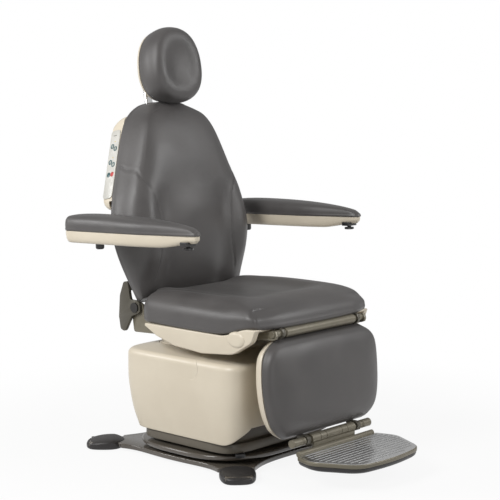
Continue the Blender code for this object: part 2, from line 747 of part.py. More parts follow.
# Ivory pan: wavy skirts below a stepped deck
def seat_shell(body):
    low = SHELL_TOP - SKIRT_DEPTH
    waves = [SEAT_REAR] + [SEAT_RISE_FROM + (SEAT_RISE_TO - SEAT_RISE_FROM) * k / 5 for k in range(6)]
    top = [(y, SHELL_TOP + deck_rise(y)) for y in waves]
    nose = SHELL_TOP + SEAT_STEP
    keel = rounded([
        (SEAT_FRONT, nose, 0), (SEAT_FRONT + 0.022, nose - 0.040, 0.020),
        (SEAT_FRONT + 0.060, low + 0.012, 0.040),
        (SEAT_FRONT + 0.190, low - 0.004, 0.060), (SEAT_REAR - 0.120, low + 0.004, 0.060),
        (SEAT_REAR - 0.048, low + 0.024, 0.040), (SEAT_REAR, SHELL_TOP - 0.008, 0)], 3)
    shell = plate("seat_shell", body, ivory, [top + keel], SEAT_SHELL_HALF * 2, (0, 0, 0), "side")
    soften(shell, 0.007, 2)
    inner = SEAT_SHELL_HALF - SKIRT_THICKNESS
    under = [(y, z - SHELL_DECK) for y, z in top]
    under[0] = (SEAT_REAR + 0.05, under[0][1])
    ahead, behind = SEAT_FRONT - 0.05, SEAT_REAR + 0.05
    channel = under + [(ahead, under[-1][1]), (ahead, low - 0.05), (behind, low - 0.05)]
    cut(shell, plate("shell_channel", body, None, [channel], inner * 2, (0, 0, 0), "side"))
    for place, side in (("right", -1), ("left", 1)):
        add(shell, rod("shell_boss_" + place, body, None, 0.019, 0.012,
                       (side * (SEAT_SHELL_HALF - 0.0045), SEAT_FRONT + 0.066, SHELL_TOP - 0.002)))
    return shell


def seat_cushion(body):
    def form(u, v, w):
        t = (v + 1) / 2
        y = CUSHION_FRONT + (CUSHION_REAR - CUSHION_FRONT) * t
        half = CUSHION_HALF * (0.95 + 0.05 * math.sin(math.pi * min(t * 0.9 + 0.10, 1)))
        half *= 1 - 0.05 * (1 - abs(w)) - (0.025 if w < 0 else 0)
        rise = deck_rise(y)
        ease = math.sqrt(abs(math.sin(math.pi * rise / SEAT_STEP)))
        floor = CUSHION_BASE + rise + 0.0105 * ease
        edge = abs(u) ** 4
        crown = 0.004 * (1 - u * u) * math.sin(math.pi * t)
        bolster = 0.012 * math.exp(-((abs(u) - 0.80) / 0.18) ** 2) * smoothstep(t * 3)
        fall = 0.014 * (1 - smoothstep(t * 4)) + 0.004 * edge
        roof = CUSHION_BASE + CUSHION_HEIGHT + crown + bolster - fall
        bow = 0.010 * (1 - u * u) * (1 if v < -0.99 else 0)
        return Vector((u * half, y - bow, floor + (roof - floor) * (w + 1) / 2))
    return soft_form("seat_cushion", body, vinyl, (8, 7, 2), form)


def crank_outline():
    swing = CRANK_ANGLE + BACK_TILT
    pin = Vector((math.sin(swing), -math.cos(swing))) * CRANK_RADIUS
    reach = CRANK_PIN + 0.006
    boss = PIN_RADIUS + 0.011
    front = BACK_PLATE_FRONT + 0.002
    corners = [(pin.x + reach, pin.y - reach * 0.2, 0.009), (pin.x - reach * 0.4, pin.y - reach, 0.009),
               (boss * 0.9, -boss * 1.1, 0.010), (-boss, -boss * 0.8, boss * 0.7),
               (-boss, boss * 0.8, boss * 0.7), (front, boss * 1.2, 0.006),
               (front, BEAM_TOP + 0.003, 0.004), (front + 0.017, BEAM_TOP + 0.003, 0.008),
               (0.056, 0.044, 0.026), (0.074, -0.018, 0.024)]
    return pin, rounded(corners)


def back_group(seat):
    body = pivot("back_axis", seat, BACK_HINGE, -BACK_TILT)
    front = BACK_PLATE_FRONT
    pin, arc = crank_outline()
    hole = circle(PIN_RADIUS + RUN_GAP)
    outside = CRANK_X + CRANK_PLATE / 2
    spine_half = 0.080
    spine = slab("back_frame", body, taupe, (-spine_half, front, BEAM_BOTTOM + 0.002),
                 (spine_half, BACK_PLATE_REAR, GUIDE_TOP - 0.010))
    beam = slab("back_beam", body, None, (-outside + 0.001, front + 0.001, BEAM_BOTTOM),
                (outside - 0.001, front + 0.017, BEAM_TOP))
    # Side of the board behind the cushion, inside the housing walls where they pass it
    side_line = []
    for i in range(13):
        t = 0.03 + 0.86 * i / 12
        z = BACK_BOTTOM + (BACK_TOP - BACK_BOTTOM) * t
        free = along_stations(BACK_STATIONS, t) - BOARD_INSET - BOARD_DRAW * (1 - smoothstep(t / 0.42))
        up = (z - HOUSING_BOTTOM) / (HOUSING_TOP - HOUSING_BOTTOM)
        wall = HOUSING_HALF_BOTTOM + (HOUSING_HALF_TOP - HOUSING_HALF_BOTTOM) * up - HOUSING_WALL
        inside = smoothstep((up + 0.40) / 0.30)
        side_line.append((free * (1 - inside) + (wall - BOARD_GAP) * inside, z))

    # Arm beam as wide as the board, up to the next whole millimetre
    arm_y, arm_z = ARM_PIVOT
    yoke_half = math.ceil(max(x for x, z in side_line) * 1000) / 1000
    arm_beam = slab("arm_beam", body, None, (-yoke_half, front + 0.001, arm_z - 0.015),
                    (yoke_half, arm_y + 0.013, arm_z + 0.015))
    guide_half = HEAD_POST_WIDTH / 2 + RUN_GAP + GUIDE_WALL
    guide_rear = POST_Y + HEAD_POST_DEPTH / 2 + RUN_GAP + GUIDE_WALL
    guide = slab("guide_block", body, None, (-guide_half, front + 0.002, GUIDE_BOTTOM),
                 (guide_half, guide_rear, GUIDE_TOP))
    add(spine, beam, arm_beam, guide)
    for place, side in (("right", -1), ("left", 1)):
        add(spine, plate("crank_" + place, body, None, [arc, hole], CRANK_PLATE,
                         (side * CRANK_X, 0, 0), "side"))
        cut(spine, rod("arm_pin_seat_" + place, body, None, ARM_PIN_RADIUS + SEAT_GAP, 0.080,
                       (side * (yoke_half - 0.010), arm_y, arm_z)))
    add(spine, rod("crank_pin", body, None, CRANK_PIN, CRANK_X - LINK_INNER,
                   ((CRANK_X + LINK_INNER) / 2, pin.x, pin.y), "X", 16))
    slot_half = HEAD_POST_WIDTH / 2 + RUN_GAP
    slot_deep = HEAD_POST_DEPTH / 2 + RUN_GAP
    cut(spine, slab("guide_slot", body, None, (-slot_half, POST_Y - slot_deep, GUIDE_BOTTOM - 0.02),
                    (slot_half, POST_Y + slot_deep, GUIDE_TOP + 0.02)))

    for place, side in (("right", -1), ("left", 1)):
        length = outside + SEAT_GAP - SIDE_PLATE_X + 0.0035
        profile = [(0, 0.004), (PIN_HEAD, 0.004), (PIN_HEAD, 0), (PIN_RADIUS, 0), (PIN_RADIUS, -length),
                   (0, -length)]
        bolt = turned("recline_pin_" + place, seat, steel, profile,
                      (side * (outside + SEAT_GAP), BACK_HINGE[1], BACK_HINGE[2]), "X")
        bolt.rotation_euler = (0, side * math.pi / 2, 0)
        start, stop = yoke_half - 0.048, ARM_X - 0.004
        rod("arm_pin_" + place, body, steel, ARM_PIN_RADIUS, stop - start,
            (side * (start + stop) / 2, arm_y, arm_z))

    # Board behind the cushion
    outline = side_line + [(-x, z) for x, z in reversed(side_line)]
    board = plate("back_shell", body, ivory, [outline], BACK_SHELL_DEPTH,
                  (0, BACK_SHELL_FRONT + BACK_SHELL_DEPTH / 2, 0), "front")
    soften(board, 0.003)

    # Crowned cushion with drawn-in sides, side bolsters and a lumbar curve
    def form(u, v, w):
        t = (w + 1) / 2
        z = BACK_BOTTOM + (BACK_TOP - BACK_BOTTOM) * t
        rear_side = (1 + v) / 2
        draw = 0.052 * (1 - smoothstep(t / 0.34)) * rear_side
        half = along_stations(BACK_STATIONS, t) * 1.015 - draw
        half *= 1 - 0.02 * (1 - abs(v))
        crown = 0.004 * (1 - u * u) * math.sin(math.pi * t)
        low = 1 - smoothstep((t - 0.5) / 0.18)
        bolster = 0.007 * math.exp(-((abs(u) - 0.80) / 0.18) ** 2) * low
        heel = 0.050 * (1 - smoothstep((t + 0.02) / 0.42))
        edge = 0.020 * abs(u) ** 6 + 0.022 * smoothstep((t - 0.86) / 0.14)
        depth = BACK_DEPTH - 0.003 + crown + bolster - heel - edge
        return Vector((u * half, BACK_REAR - (1 - v) / 2 * depth, z))
    soft_form("back_cushion", body, vinyl, (8, 2, 8), form)

    # Rear housing: tapered box open towards the cushion
    def taper(inset):
        return rounded([(-HOUSING_HALF_BOTTOM + inset, HOUSING_BOTTOM + inset, 0.022),
                        (HOUSING_HALF_BOTTOM - inset, HOUSING_BOTTOM + inset, 0.022),
                        (HOUSING_HALF_TOP - inset, HOUSING_TOP - inset, 0.022),
                        (-HOUSING_HALF_TOP + inset, HOUSING_TOP - inset, 0.022)], 3)
    near = BACK_SHELL_FRONT
    rear = near + HOUSING_DEPTH
    housing = plate("rear_housing", body, ivory, [taper(0)], HOUSING_DEPTH,
                    (0, (near + rear) / 2, 0), "front")
    soften(housing, 0.006, 2)
    cut(housing, plate("housing_well", body, None, [taper(HOUSING_WALL)], HOUSING_DEPTH,
                       (0, (near + rear) / 2 - HOUSING_WALL, 0), "front"))
    cut(housing, slab("housing_slot", body, None, (-guide_half - 0.001, near - 0.01, HOUSING_TOP - 0.02),
                      (guide_half + 0.001, guide_rear + 0.001, HOUSING_TOP + 0.02)))
    sill = max(x for x, z in side_line) + 0.003
    cut(housing, slab("housing_sill", body, None, (-sill, near - 0.01, HOUSING_BOTTOM - 0.01),
                      (sill, BACK_PLATE_REAR + 0.001, HOUSING_BOTTOM + 0.030)))
    control_panel(body, (near + rear) / 2 + 0.002)
    return body


def control_panel(back, middle):
    along = Vector((HOUSING_HALF_BOTTOM - HOUSING_HALF_TOP, 0, HOUSING_TOP - HOUSING_BOTTOM)).normalized()
    out = Vector((-along.z, 0, along.x))
    centre = Vector((-(HOUSING_HALF_BOTTOM + HOUSING_HALF_TOP) / 2, middle,
                     (HOUSING_BOTTOM + HOUSING_TOP) / 2)) + out * SEAT_GAP
    turn = Matrix((Vector((0, -1, 0)), along, out)).transposed()
    body = pivot("panel_face", back, centre)
    body.rotation_euler = turn.to_euler()
    half, end = PANEL_WIDTH / 2, PANEL_LENGTH / 2
    outline = rounded([(-half, -end, 0.012), (half, -end, 0.012), (half, end, 0.012), (-half, end, 0.012)])
    panel = plate("control_panel", body, panel_white, [outline], PANEL_THICKNESS, (0, 0, PANEL_THICKNESS / 2))
    places = {"raise": (-0.007, 0.058, pad_teal), "lower": (0.007, 0.049, pad_teal),
              "recline": (-0.007, 0.007, pad_teal), "sit_up": (0.007, -0.002, pad_teal),
              "return": (-0.0075, -0.033, pad_teal), "stop": (0.0075, -0.033, pad_red)}
    base = PANEL_THICKNESS - BUTTON_HEIGHT + BUTTON_TRAVEL / 2
    for use, (x, y, look) in places.items():
        axis = pivot("button_axis_" + use, body, (x, y, 0))
        well = rod("button_well_" + use, axis, None, BUTTON_RADIUS + RUN_GAP, PANEL_THICKNESS,
                   (0, 0, base - BUTTON_TRAVEL - SEAT_GAP + PANEL_THICKNESS / 2), "Z", 14)
        cut(panel, well)
        rod("button_" + use, axis, look, BUTTON_RADIUS, BUTTON_HEIGHT,
            (0, 0, base + BUTTON_HEIGHT / 2), "Z", 14)


def headrest_group(back):
    slide = pivot("headrest_slide_axis", back)
    half = HEAD_POST_WIDTH / 2
    rear = POST_Y + HEAD_POST_DEPTH / 2
    post = slab("headrest_post", slide, steel, (-half, POST_Y - HEAD_POST_DEPTH / 2, GUIDE_BOTTOM + 0.004),
                (half, rear, HEAD_CENTRE + 0.008))
    reach = slab("post_reach", slide, None, (-half + 0.001, TILT_AXIS_Y, HEAD_CENTRE - 0.007),
                 (half - 0.001, rear - 0.001, HEAD_CENTRE + 0.007))
    lug = rod("post_lug", slide, None, TILT_PIN + 0.005, HEAD_POST_WIDTH - 0.001,
              (0, TILT_AXIS_Y, HEAD_CENTRE), "X", 16)
    add(post, reach, lug)
    cut(post, rod("post_bore", slide, None, TILT_PIN + RUN_GAP, 0.08, (0, TILT_AXIS_Y, HEAD_CENTRE), "X", 16))

    tilt = pivot("headrest_tilt_axis", slide, (0, TILT_AXIS_Y, HEAD_CENTRE), BACK_TILT - HEAD_TILT)
    shell_front = HEAD_FACE + HEAD_DEPTH + SEAT_GAP - TILT_AXIS_Y
    shell_rear = shell_front + HEAD_SHELL_DEPTH
    ear = half + RUN_GAP
    base = slab("headrest_bracket", tilt, taupe, (-ear - BRACKET_EAR, shell_rear + SEAT_GAP, -0.024),
                (ear + BRACKET_EAR, shell_rear + 0.006, 0.024))
    for place, side in (("right", -1), ("left", 1)):
        flag = rounded([(shell_rear + 0.003, -0.020, 0.002), (0.008, -0.009, 0.005),
                        (0.008, 0.009, 0.005), (shell_rear + 0.003, 0.020, 0.002)])
        add(base, plate("bracket_ear_" + place, tilt, None, [flag], BRACKET_EAR,
                        (side * (ear + BRACKET_EAR / 2), 0, 0), "side"))
    add(base, rod("tilt_pin", tilt, None, TILT_PIN, 2 * ear + BRACKET_EAR, (0, 0, 0), "X", 16))

    # Egg outline, narrower at the crown
    points = []
    for x, z in superellipse(HEAD_HALF_WIDTH * 0.95, HEAD_HALF_HEIGHT * 0.95, 2.3, 28):
        points.append((x * (1 - 0.08 * z / HEAD_HALF_HEIGHT), z))
    shell = plate("headrest_shell", tilt, ivory, [points], HEAD_SHELL_DEPTH,
                  (0, (shell_front + shell_rear) / 2, 0), "front")
    soften(shell, 0.004)

    def form(u, v, w):
        reach = math.hypot(u, w)
        largest = max(abs(u), abs(w))
        pull = largest / reach if reach > 0 else 1
        blend = 0.92 * largest
        x = u * (1 - blend + blend * pull) * 1.10
        z = w * (1 - blend + blend * pull) * 1.10
        dish = max(0.0, 1 - (u / 0.62) ** 2) * max(0.0, 1 - (w / 0.72) ** 2)
        depth = HEAD_DEPTH - 0.012 * dish - 0.018 * largest ** 6
        side = 1 - 0.04 * (1 - abs(v))
        return Vector((x * HEAD_HALF_WIDTH * (1 - 0.08 * w) * side,
                       HEAD_FACE + HEAD_DEPTH - TILT_AXIS_Y - (1 - v) / 2 * depth, z * HEAD_HALF_HEIGHT * side))
    soft_form("headrest_cushion", tilt, vinyl, (6, 2, 6), form)


# Half width of an arm along its length, pointed towards the front
def arm_half(t):
    return ARM_HALF_WIDTH * (1 - smoothstep((0.42 - t) / 0.42) * 0.62)


# Rise of the shell's floor towards the front
def arm_lift(t):
    return 0.014 * (1 - smoothstep(t / 0.45))


def arm_ring(inset, height, rise, count):
    sides = []
    steps = count // 2
    for k in range(steps):
        t = 0.5 - 0.5 * math.cos(math.pi * k / (steps - 1))
        y = ARM_TAIL - ARM_LENGTH + inset + (ARM_LENGTH - 2 * inset) * t
        end = min(min(t, 1 - t) / 0.05, 1)
        bend = 0.50 + 0.50 * math.sqrt(1 - (1 - end) ** 2)
        sides.append((max(arm_half(t) - inset, 0.004) * bend, y, height + rise * arm_lift(t)))
    return sides + [(-x, y, z) for x, y, z in reversed(sides)]


def arm_group(back, place, side):
    arm_y, arm_z = ARM_PIVOT
    axis = pivot("arm_axis_" + place, back, (side * ARM_X, arm_y, arm_z), BACK_TILT - ARM_RISE)
    count = 20
    rim = ARM_PAD_BASE - SEAT_GAP
    low = rim - ARM_SHELL_DEPTH
    rings = [arm_ring(0.005, rim, 0.0, count), arm_ring(0.005, rim - ARM_SHELL_DEPTH * 0.35, 0.3, count),
             arm_ring(0.009, low + 0.005, 1.0, count), arm_ring(0.014, low, 1.0, count)]
    shell = hollow(loft("arm_shell_" + place, axis, ivory, rings, (False, True)), ARM_SHELL_WALL)
    cut(shell, rod("arm_pin_hole_" + place, axis, None, ARM_PIN_RADIUS + 0.0015, 0.050,
                   (-side * ARM_HALF_WIDTH, 0, 0)))
    release_x, release_y = -side * 0.018, RELEASE_Y[place]
    cut(shell, rod("release_hole_" + place, axis, None, RELEASE_RADIUS + RUN_GAP, 0.020,
                   (release_x, release_y, low), "Z"))
    knob_y = ARM_TAIL - ARM_LENGTH + KNOB_INSET
    knob_z = low + arm_lift((knob_y - ARM_TAIL + ARM_LENGTH) / ARM_LENGTH)
    cut(shell, rod("knob_hole_" + place, axis, None, 0.0062 + RUN_GAP, 0.020, (0, knob_y, knob_z), "Z", 16))

    def form(u, v, w):
        t = (v + 1) / 2
        y = ARM_TAIL - ARM_LENGTH + ARM_LENGTH * t
        half = arm_half(t) * 1.04 * (1 - 0.03 * (1 - abs(w)))
        thick = ARM_PAD_HEIGHT * (0.52 + 0.48 * smoothstep(t * 2.2)) + 0.004 * (1 - u * u) - 0.004 * abs(v) ** 6
        return Vector((u * half, y, ARM_PAD_BASE + (w + 1) / 2 * thick))
    soft_form("arm_pad_" + place, axis, vinyl, (2, 7, 2), form)

    hub_x = -side * (ARM_HALF_WIDTH - 0.012 - ARM_SHELL_WALL - ARM_HUB / 2)
    bar = block("arm_bar_" + place, axis, steel, (ARM_HUB, HUB_DEPTH, HUB_HEIGHT), (hub_x, 0, 0))
    middle = side * ARM_STRIP_OFFSET
    strip = slab("arm_strip_" + place, axis, None, (middle - ARM_STRIP_HALF, -ARM_STRIP, ARM_STRIP_BASE),
                 (middle + ARM_STRIP_HALF, HUB_DEPTH * 0.44, ARM_STRIP_TOP))
    reach = side * ARM_STRIP_OFFSET * 1.5
    tie = slab("arm_tie_" + place, axis, None, (min(hub_x, reach), -HUB_DEPTH * 0.53, ARM_STRIP_BASE / 2),
               (max(hub_x, reach), HUB_DEPTH * 0.40, ARM_STRIP_TOP * 0.94))
    add(bar, strip, tie)
    cut(bar, rod("arm_bore_" + place, axis, None, ARM_PIN_RADIUS + RUN_GAP, 0.100, (0, 0, 0)))

    release_axis = pivot("release_axis_" + place, axis, (release_x, release_y, low))
    turned("arm_release_" + place, release_axis, black,
           [(0, 0.010), (RELEASE_RADIUS, 0.010), (RELEASE_RADIUS, -0.014), (RELEASE_RADIUS - 0.003, -0.018),
            (0, -0.018)], (0, 0, 0), steps=16)

    knob_axis = pivot("knob_axis_" + place, axis, (0, knob_y, knob_z))
    turned("arm_knob_" + place, knob_axis, black,
           [(0, 0.008), (0.0062, 0.008), (0.0062, -0.0012), (0.014, -0.0012), (0.014, -0.005), (0.0062, -0.007),
            (0.0062, -0.014), (KNOB_RADIUS, -0.015), (KNOB_RADIUS, -0.023), (0, -0.025)], (0, 0, 0), steps=14)


# One bar with an upright slot at each end for the crank pins
def sync_link_group(seat):
    body = pivot("sync_link_axis", seat)
    swing = Vector((math.sin(CRANK_ANGLE), -math.cos(CRANK_ANGLE))) * CRANK_RADIUS
    slot_half = CRANK_PIN + YOKE_PLAY
    rear_y, front_y = BACK_HINGE[1] + swing.x, LEG_HINGE[1] + swing.x
    ends = []
    for hinge in (BACK_HINGE, LEG_HINGE):
        high = hinge[2] + swing.y + CRANK_PIN + YOKE_PLAY
        low = hinge[2] - CRANK_RADIUS - CRANK_PIN - YOKE_PLAY
        ends.append((hinge[1] + swing.x, low, high))
    half = slot_half + YOKE_WALL
    bar = slab("sync_link", body, steel, (LINK_INNER, front_y, LINK_BAR_Z - LINK_BAR_HEIGHT / 2),
               (LINK_OUTER, rear_y, LINK_BAR_Z + LINK_BAR_HEIGHT / 2))
    for place, (y, low, high) in zip(("rear", "front"), ends):
        frame = rounded([(y - half, low - YOKE_WALL, 0.008), (y + half, low - YOKE_WALL, 0.008),
                         (y + half, high + YOKE_WALL, 0.008), (y - half, high + YOKE_WALL, 0.008)])
        add(bar, plate("yoke_" + place, body, None, [frame], LINK_THICKNESS - 0.0002, (LINK_X, 0, 0), "side"))
    for place, (y, low, high) in zip(("rear", "front"), ends):
        gap = rounded([(y - slot_half, low, 0.006), (y + slot_half, low, 0.006),
                       (y + slot_half, high, 0.006), (y - slot_half, high, 0.006)])
        cut(bar, plate("slot_" + place, body, None, [gap], 0.060, (LINK_X, 0, 0), "side"))

    # Drive housing guides the bar and hangs from the deck
    half = LINK_THICKNESS / 2 + 0.0056
    tall = LINK_BAR_HEIGHT / 2
    middle = -0.020
    drive = slab("recline_drive", seat, black,
                 (LINK_X - half, middle - DRIVE_LENGTH / 2, LINK_BAR_Z - tall - 0.006),
                 (LINK_X + half, middle + DRIVE_LENGTH / 2, FRAME_BOTTOM - SEAT_GAP))
    cut(drive, slab("drive_way", seat, None,
                    (LINK_INNER - RUN_GAP, middle - DRIVE_LENGTH, LINK_BAR_Z - tall - RUN_GAP),
                    (LINK_OUTER + RUN_GAP, middle + DRIVE_LENGTH, LINK_BAR_Z + tall + RUN_GAP)))


def leg_group(seat):
    body = pivot("leg_axis", seat, LEG_HINGE, -LEG_TILT)
    turned("leg_hinge_bar", seat, taupe,
           [(0, SIDE_PLATE_X + SIDE_PLATE + 0.004), (LEG_BAR_RADIUS, SIDE_PLATE_X + SIDE_PLATE + 0.004),
            (LEG_BAR_RADIUS, -SIDE_PLATE_X - SIDE_PLATE - 0.004), (0, -SIDE_PLATE_X - SIDE_PLATE - 0.004)],
           LEG_HINGE, "X")

    # Frame plate, hinge knuckles, crank and foot lugs
    foot_y, foot_z = FOOT_AXIS
    front = LEG_SHELL_FRONT
    frame = slab("leg_frame", body, taupe, (-0.140, front, LEG_PAD_BOTTOM + 0.030),
                 (0.140, front + LEG_PLATE, LEG_PAD_TOP - 0.060))
    span = KNUCKLE_X + CRANK_PLATE / 2 - 0.001
    arms = slab("leg_arms", body, None, (-span, front + 0.0005, LEG_PAD_TOP - 0.090),
                (span, front + LEG_PLATE - 0.0005, LEG_PAD_TOP - 0.050))
    add(frame, arms)
    ring = LEG_BAR_RADIUS + 0.0045
    hole = circle(LEG_BAR_RADIUS + RUN_GAP)
    pin = Vector((math.sin(CRANK_ANGLE + LEG_TILT), -math.cos(CRANK_ANGLE + LEG_TILT))) * CRANK_RADIUS
    strap = [(front, LEG_PAD_TOP - 0.090, 0.001), (front, -ring * 1.6, 0.002), (-ring, -ring * 0.5, ring * 0.5),
             (-ring, ring, ring * 0.9), (ring, ring, ring * 0.9), (front + 0.016, -ring * 1.2, 0.004)]
    tail = CRANK_PIN + 0.005
    crank = strap + [(pin.x + tail, pin.y + tail * 0.3, 0.008), (pin.x + tail * 0.1, pin.y - tail, 0.008),
                     (front + 0.014, LEG_PAD_TOP - 0.090, 0.004)]
    plain = strap + [(front + 0.014, LEG_PAD_TOP - 0.090, 0.004)]
    for place, side, shape in (("right", -1, plain), ("left", 1, crank)):
        knuckle = list(reversed(rounded(shape)))
        add(frame, plate("leg_knuckle_" + place, body, None, [knuckle, hole], CRANK_PLATE,
                         (side * KNUCKLE_X, 0, 0), "side"))
    add(frame, rod("leg_crank_pin", body, None, CRANK_PIN, LINK_OUTER - KNUCKLE_X,
                   ((KNUCKLE_X + LINK_OUTER) / 2, pin.x, pin.y), "X", 16))
    lug = FOOT_BAR_RADIUS + 0.0045
    flag = rounded([(foot_y - lug, foot_z - lug, lug * 0.9), (foot_y + lug, foot_z - lug, lug * 0.9),
                    (front + LEG_PLATE - 0.001, foot_z + 0.020, 0.004),
                    (front + LEG_PLATE - 0.001, LEG_PAD_BOTTOM + 0.060, 0.001),
                    (front + 0.001, LEG_PAD_BOTTOM + 0.060, 0.001), (front + 0.001, foot_z + 0.016, 0.003),
                    (foot_y, foot_z + lug, 0.004), (foot_y - lug, foot_z + lug * 0.7, lug * 0.6)])
    bore = circle(FOOT_BAR_RADIUS + SEAT_GAP, (foot_y, foot_z))
    for place, side in (("right", -1), ("left", 1)):
        add(frame, plate("foot_lug_" + place, body, None, [flag, bore], FOOT_LUG,
                         (side * FOOT_LUG_X, 0, 0), "side"))
    rod("foot_hinge_bar", body, taupe, FOOT_BAR_RADIUS, FOOT_BAR_HALF * 2, (0, foot_y, foot_z))

    # Shallow pan behind the pad, notched for the knuckles and the lugs
    rings = []
    levels = ((0.0, 0.004), (0.35, 0.006), (0.75, 0.014), (1.0, 0.034))
    for depth, inset in levels:
        outline = station_outline(LEG_STATIONS, LEG_PAD_BOTTOM, LEG_PAD_TOP, inset, 10)
        y = LEG_SHELL_FRONT + LEG_SHELL_DEPTH * depth
        rings.append([(x, y, z) for x, z in outline])
    shell = hollow(loft("leg_shell", body, ivory, rings, (False, True)), LEG_SHELL_WALL)
    clear = 0.004
    notch_low = LEG_PAD_TOP - 0.094
    knuckle_in, knuckle_out = KNUCKLE_X - CRANK_PLATE / 2, KNUCKLE_X + CRANK_PLATE / 2
    right = slab("leg_notch_right", body, None, (-knuckle_out - SEAT_GAP, front - 0.010, notch_low),
                 (-knuckle_in + SEAT_GAP, front + 0.022, 0.040))
    left = slab("leg_notch_left", body, None, (knuckle_in - clear, front - 0.010, notch_low),
                (LINK_OUTER + clear, front + 0.080, 0.040))
    cut(shell, right, left)
    for place, side in (("right", -1), ("left", 1)):
        x = side * FOOT_LUG_X
        half = FOOT_LUG / 2 + SEAT_GAP
        cut(shell, slab("lug_notch_" + place, body, None, (x - half, front - 0.010, foot_z - 0.04),
                        (x + half, front + LEG_PLATE + 0.002, LEG_PAD_BOTTOM + 0.050)))

    def form(u, v, w):
        t = (w + 1) / 2
        z = LEG_PAD_BOTTOM + (LEG_PAD_TOP - LEG_PAD_BOTTOM) * t
        half = along_stations(LEG_STATIONS, t) * 1.01 * (1 - 0.03 * (1 - abs(v)))
        front_side = (1 - v) / 2
        crown = 0.004 * (1 - u * u) * (1 - w * w)
        edge = 0.010 * abs(u) ** 6 + 0.010 * abs(w) ** 6
        return Vector((u * half, LEG_REAR - front_side * (LEG_PAD_DEPTH - 0.003 + crown - edge), z))
    soft_form("leg_pad", body, vinyl, (5, 2, 5), form)
    return body


def foot_group(leg):
    body = pivot("foot_axis", leg, (0, FOOT_AXIS[0], FOOT_AXIS[1]), LEG_TILT)

    def outline(inset, bow):
        corners = [(-FOOT_HALF_REAR, FOOT_REAR), (-FOOT_HALF_WAIST, FOOT_WAIST),
                   (-FOOT_HALF_FRONT, FOOT_FRONT + bow), (0, FOOT_FRONT), (FOOT_HALF_FRONT, FOOT_FRONT + bow),
                   (FOOT_HALF_WAIST, FOOT_WAIST), (FOOT_HALF_REAR, FOOT_REAR)]
        middle = (FOOT_REAR + FOOT_FRONT) / 2
        shrink_x = 1 - inset / FOOT_HALF_WAIST
        shrink_y = 1 - 2 * inset / (FOOT_REAR - FOOT_FRONT)
        radii = (0.014, 0.050, 0.040, 0.300, 0.040, 0.050, 0.014)
        return rounded([(x * shrink_x, middle + (y - middle) * shrink_y, r)
                        for (x, y), r in zip(corners, radii)])

    bottom = FOOT_TOP - FOOT_RIM
    tray = plate("foot_plate", body, taupe, [outline(0, FOOT_BOW)], FOOT_RIM, (0, 0, FOOT_TOP - FOOT_RIM / 2))
    soften(tray, 0.003)
    lip = rod("foot_lip", body, None, 0.0085, FOOT_HALF_REAR * 1.88,
              (0, FOOT_REAR + 0.003, FOOT_TOP + 0.002), "X", 12)
    sleeve = rod("foot_sleeve", body, None, FOOT_BAR_RADIUS + 0.005, FOOT_SLEEVE_HALF * 2, (0, 0, 0))
    web = slab("foot_web", body, None, (-FOOT_SLEEVE_HALF + 0.004, -0.014, FOOT_TOP - 0.004),
               (FOOT_SLEEVE_HALF - 0.004, -0.005, -0.007))
    add(tray, lip, web, sleeve)
    cut(tray, rod("sleeve_bore", body, None, FOOT_BAR_RADIUS + RUN_GAP, 0.40, (0, 0, 0)))
    inset = 0.013
    tread_floor = FOOT_TOP - FOOT_TREAD + 0.0008
    cut(tray, plate("tread_well", body, None, [outline(inset - SEAT_GAP, FOOT_BOW)], 0.02,
                    (0, 0, tread_floor - SEAT_GAP + 0.01)))
    plate("foot_tread", body, aluminium, [outline(inset, FOOT_BOW)], FOOT_TREAD,
          (0, 0, tread_floor + FOOT_TREAD / 2))
    rings = []
    for depth, inset in ((0.0, 0.002), (0.55, 0.005), (0.85, 0.014), (1.0, 0.030)):
        rings.append([(x, y, bottom - SEAT_GAP - FOOT_UNDER * depth) for x, y in outline(inset, FOOT_BOW)])
    loft("foot_underside", body, boot_rubber, rings, (True, True))


# Bring the middle of the footprint box to the origin
def centre_footprint():
    bpy.context.view_layer.update()
    graph = bpy.context.evaluated_depsgraph_get()
    reach = []
    for item in parts.objects:
        if item.type != "MESH":
            continue
        shape = item.evaluated_get(graph)
        reach += [(shape.matrix_world @ vert.co).y for vert in shape.data.vertices]
    root.location.y = -(min(reach) + max(reach)) / 2


clear_scene()
parts = new_collection("examination_chair")
cutters = new_collection("cutters")
root = bpy.data.objects.new("chair_root", None)
parts.objects.link(root)

vinyl = finish("vinyl", (0.085, 0.080, 0.077), 0.45)
ivory = finish("ivory", (0.72, 0.64, 0.52), 0.40)
taupe = finish("taupe", (0.20, 0.175, 0.125), 0.40, 0.3)
base_paint = finish("base_paint", (0.10, 0.085, 0.068), 0.30, 0.2)
plinth_paint = finish("plinth_paint", (0.055, 0.045, 0.036), 0.45)
boot_rubber = finish("boot_rubber", (0.040, 0.038, 0.041), 0.65)
steel = finish("steel", (0.42, 0.42, 0.42), 0.35, 0.9)
aluminium = finish("aluminium", (0.70, 0.70, 0.69), 0.30, 0.9)
black = finish("black", (0.015, 0.015, 0.016), 0.40)
panel_white = finish("panel_white", (0.75, 0.72, 0.66), 0.35)
pad_teal = finish("pad_teal", (0.035, 0.11, 0.11), 0.40)
pad_red = finish("pad_red", (0.45, 0.03, 0.03), 0.40)

floor_base()
turntable_group()
seat_axis = lift_stages()
seat_frame(seat_axis)
seat_shell(seat_axis)
seat_cushion(seat_axis)
sync_link_group(seat_axis)
back_axis = back_group(seat_axis)
headrest_group(back_axis)
arm_group(back_axis, "right", -1)
arm_group(back_axis, "left", 1)
leg_axis = leg_group(seat_axis)
foot_group(leg_axis)
centre_footprint()
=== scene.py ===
import json
import math

import bmesh
import bpy
from mathutils import Matrix, Vector
from mathutils.bvhtree import BVHTree
from mathutils.kdtree import KDTree


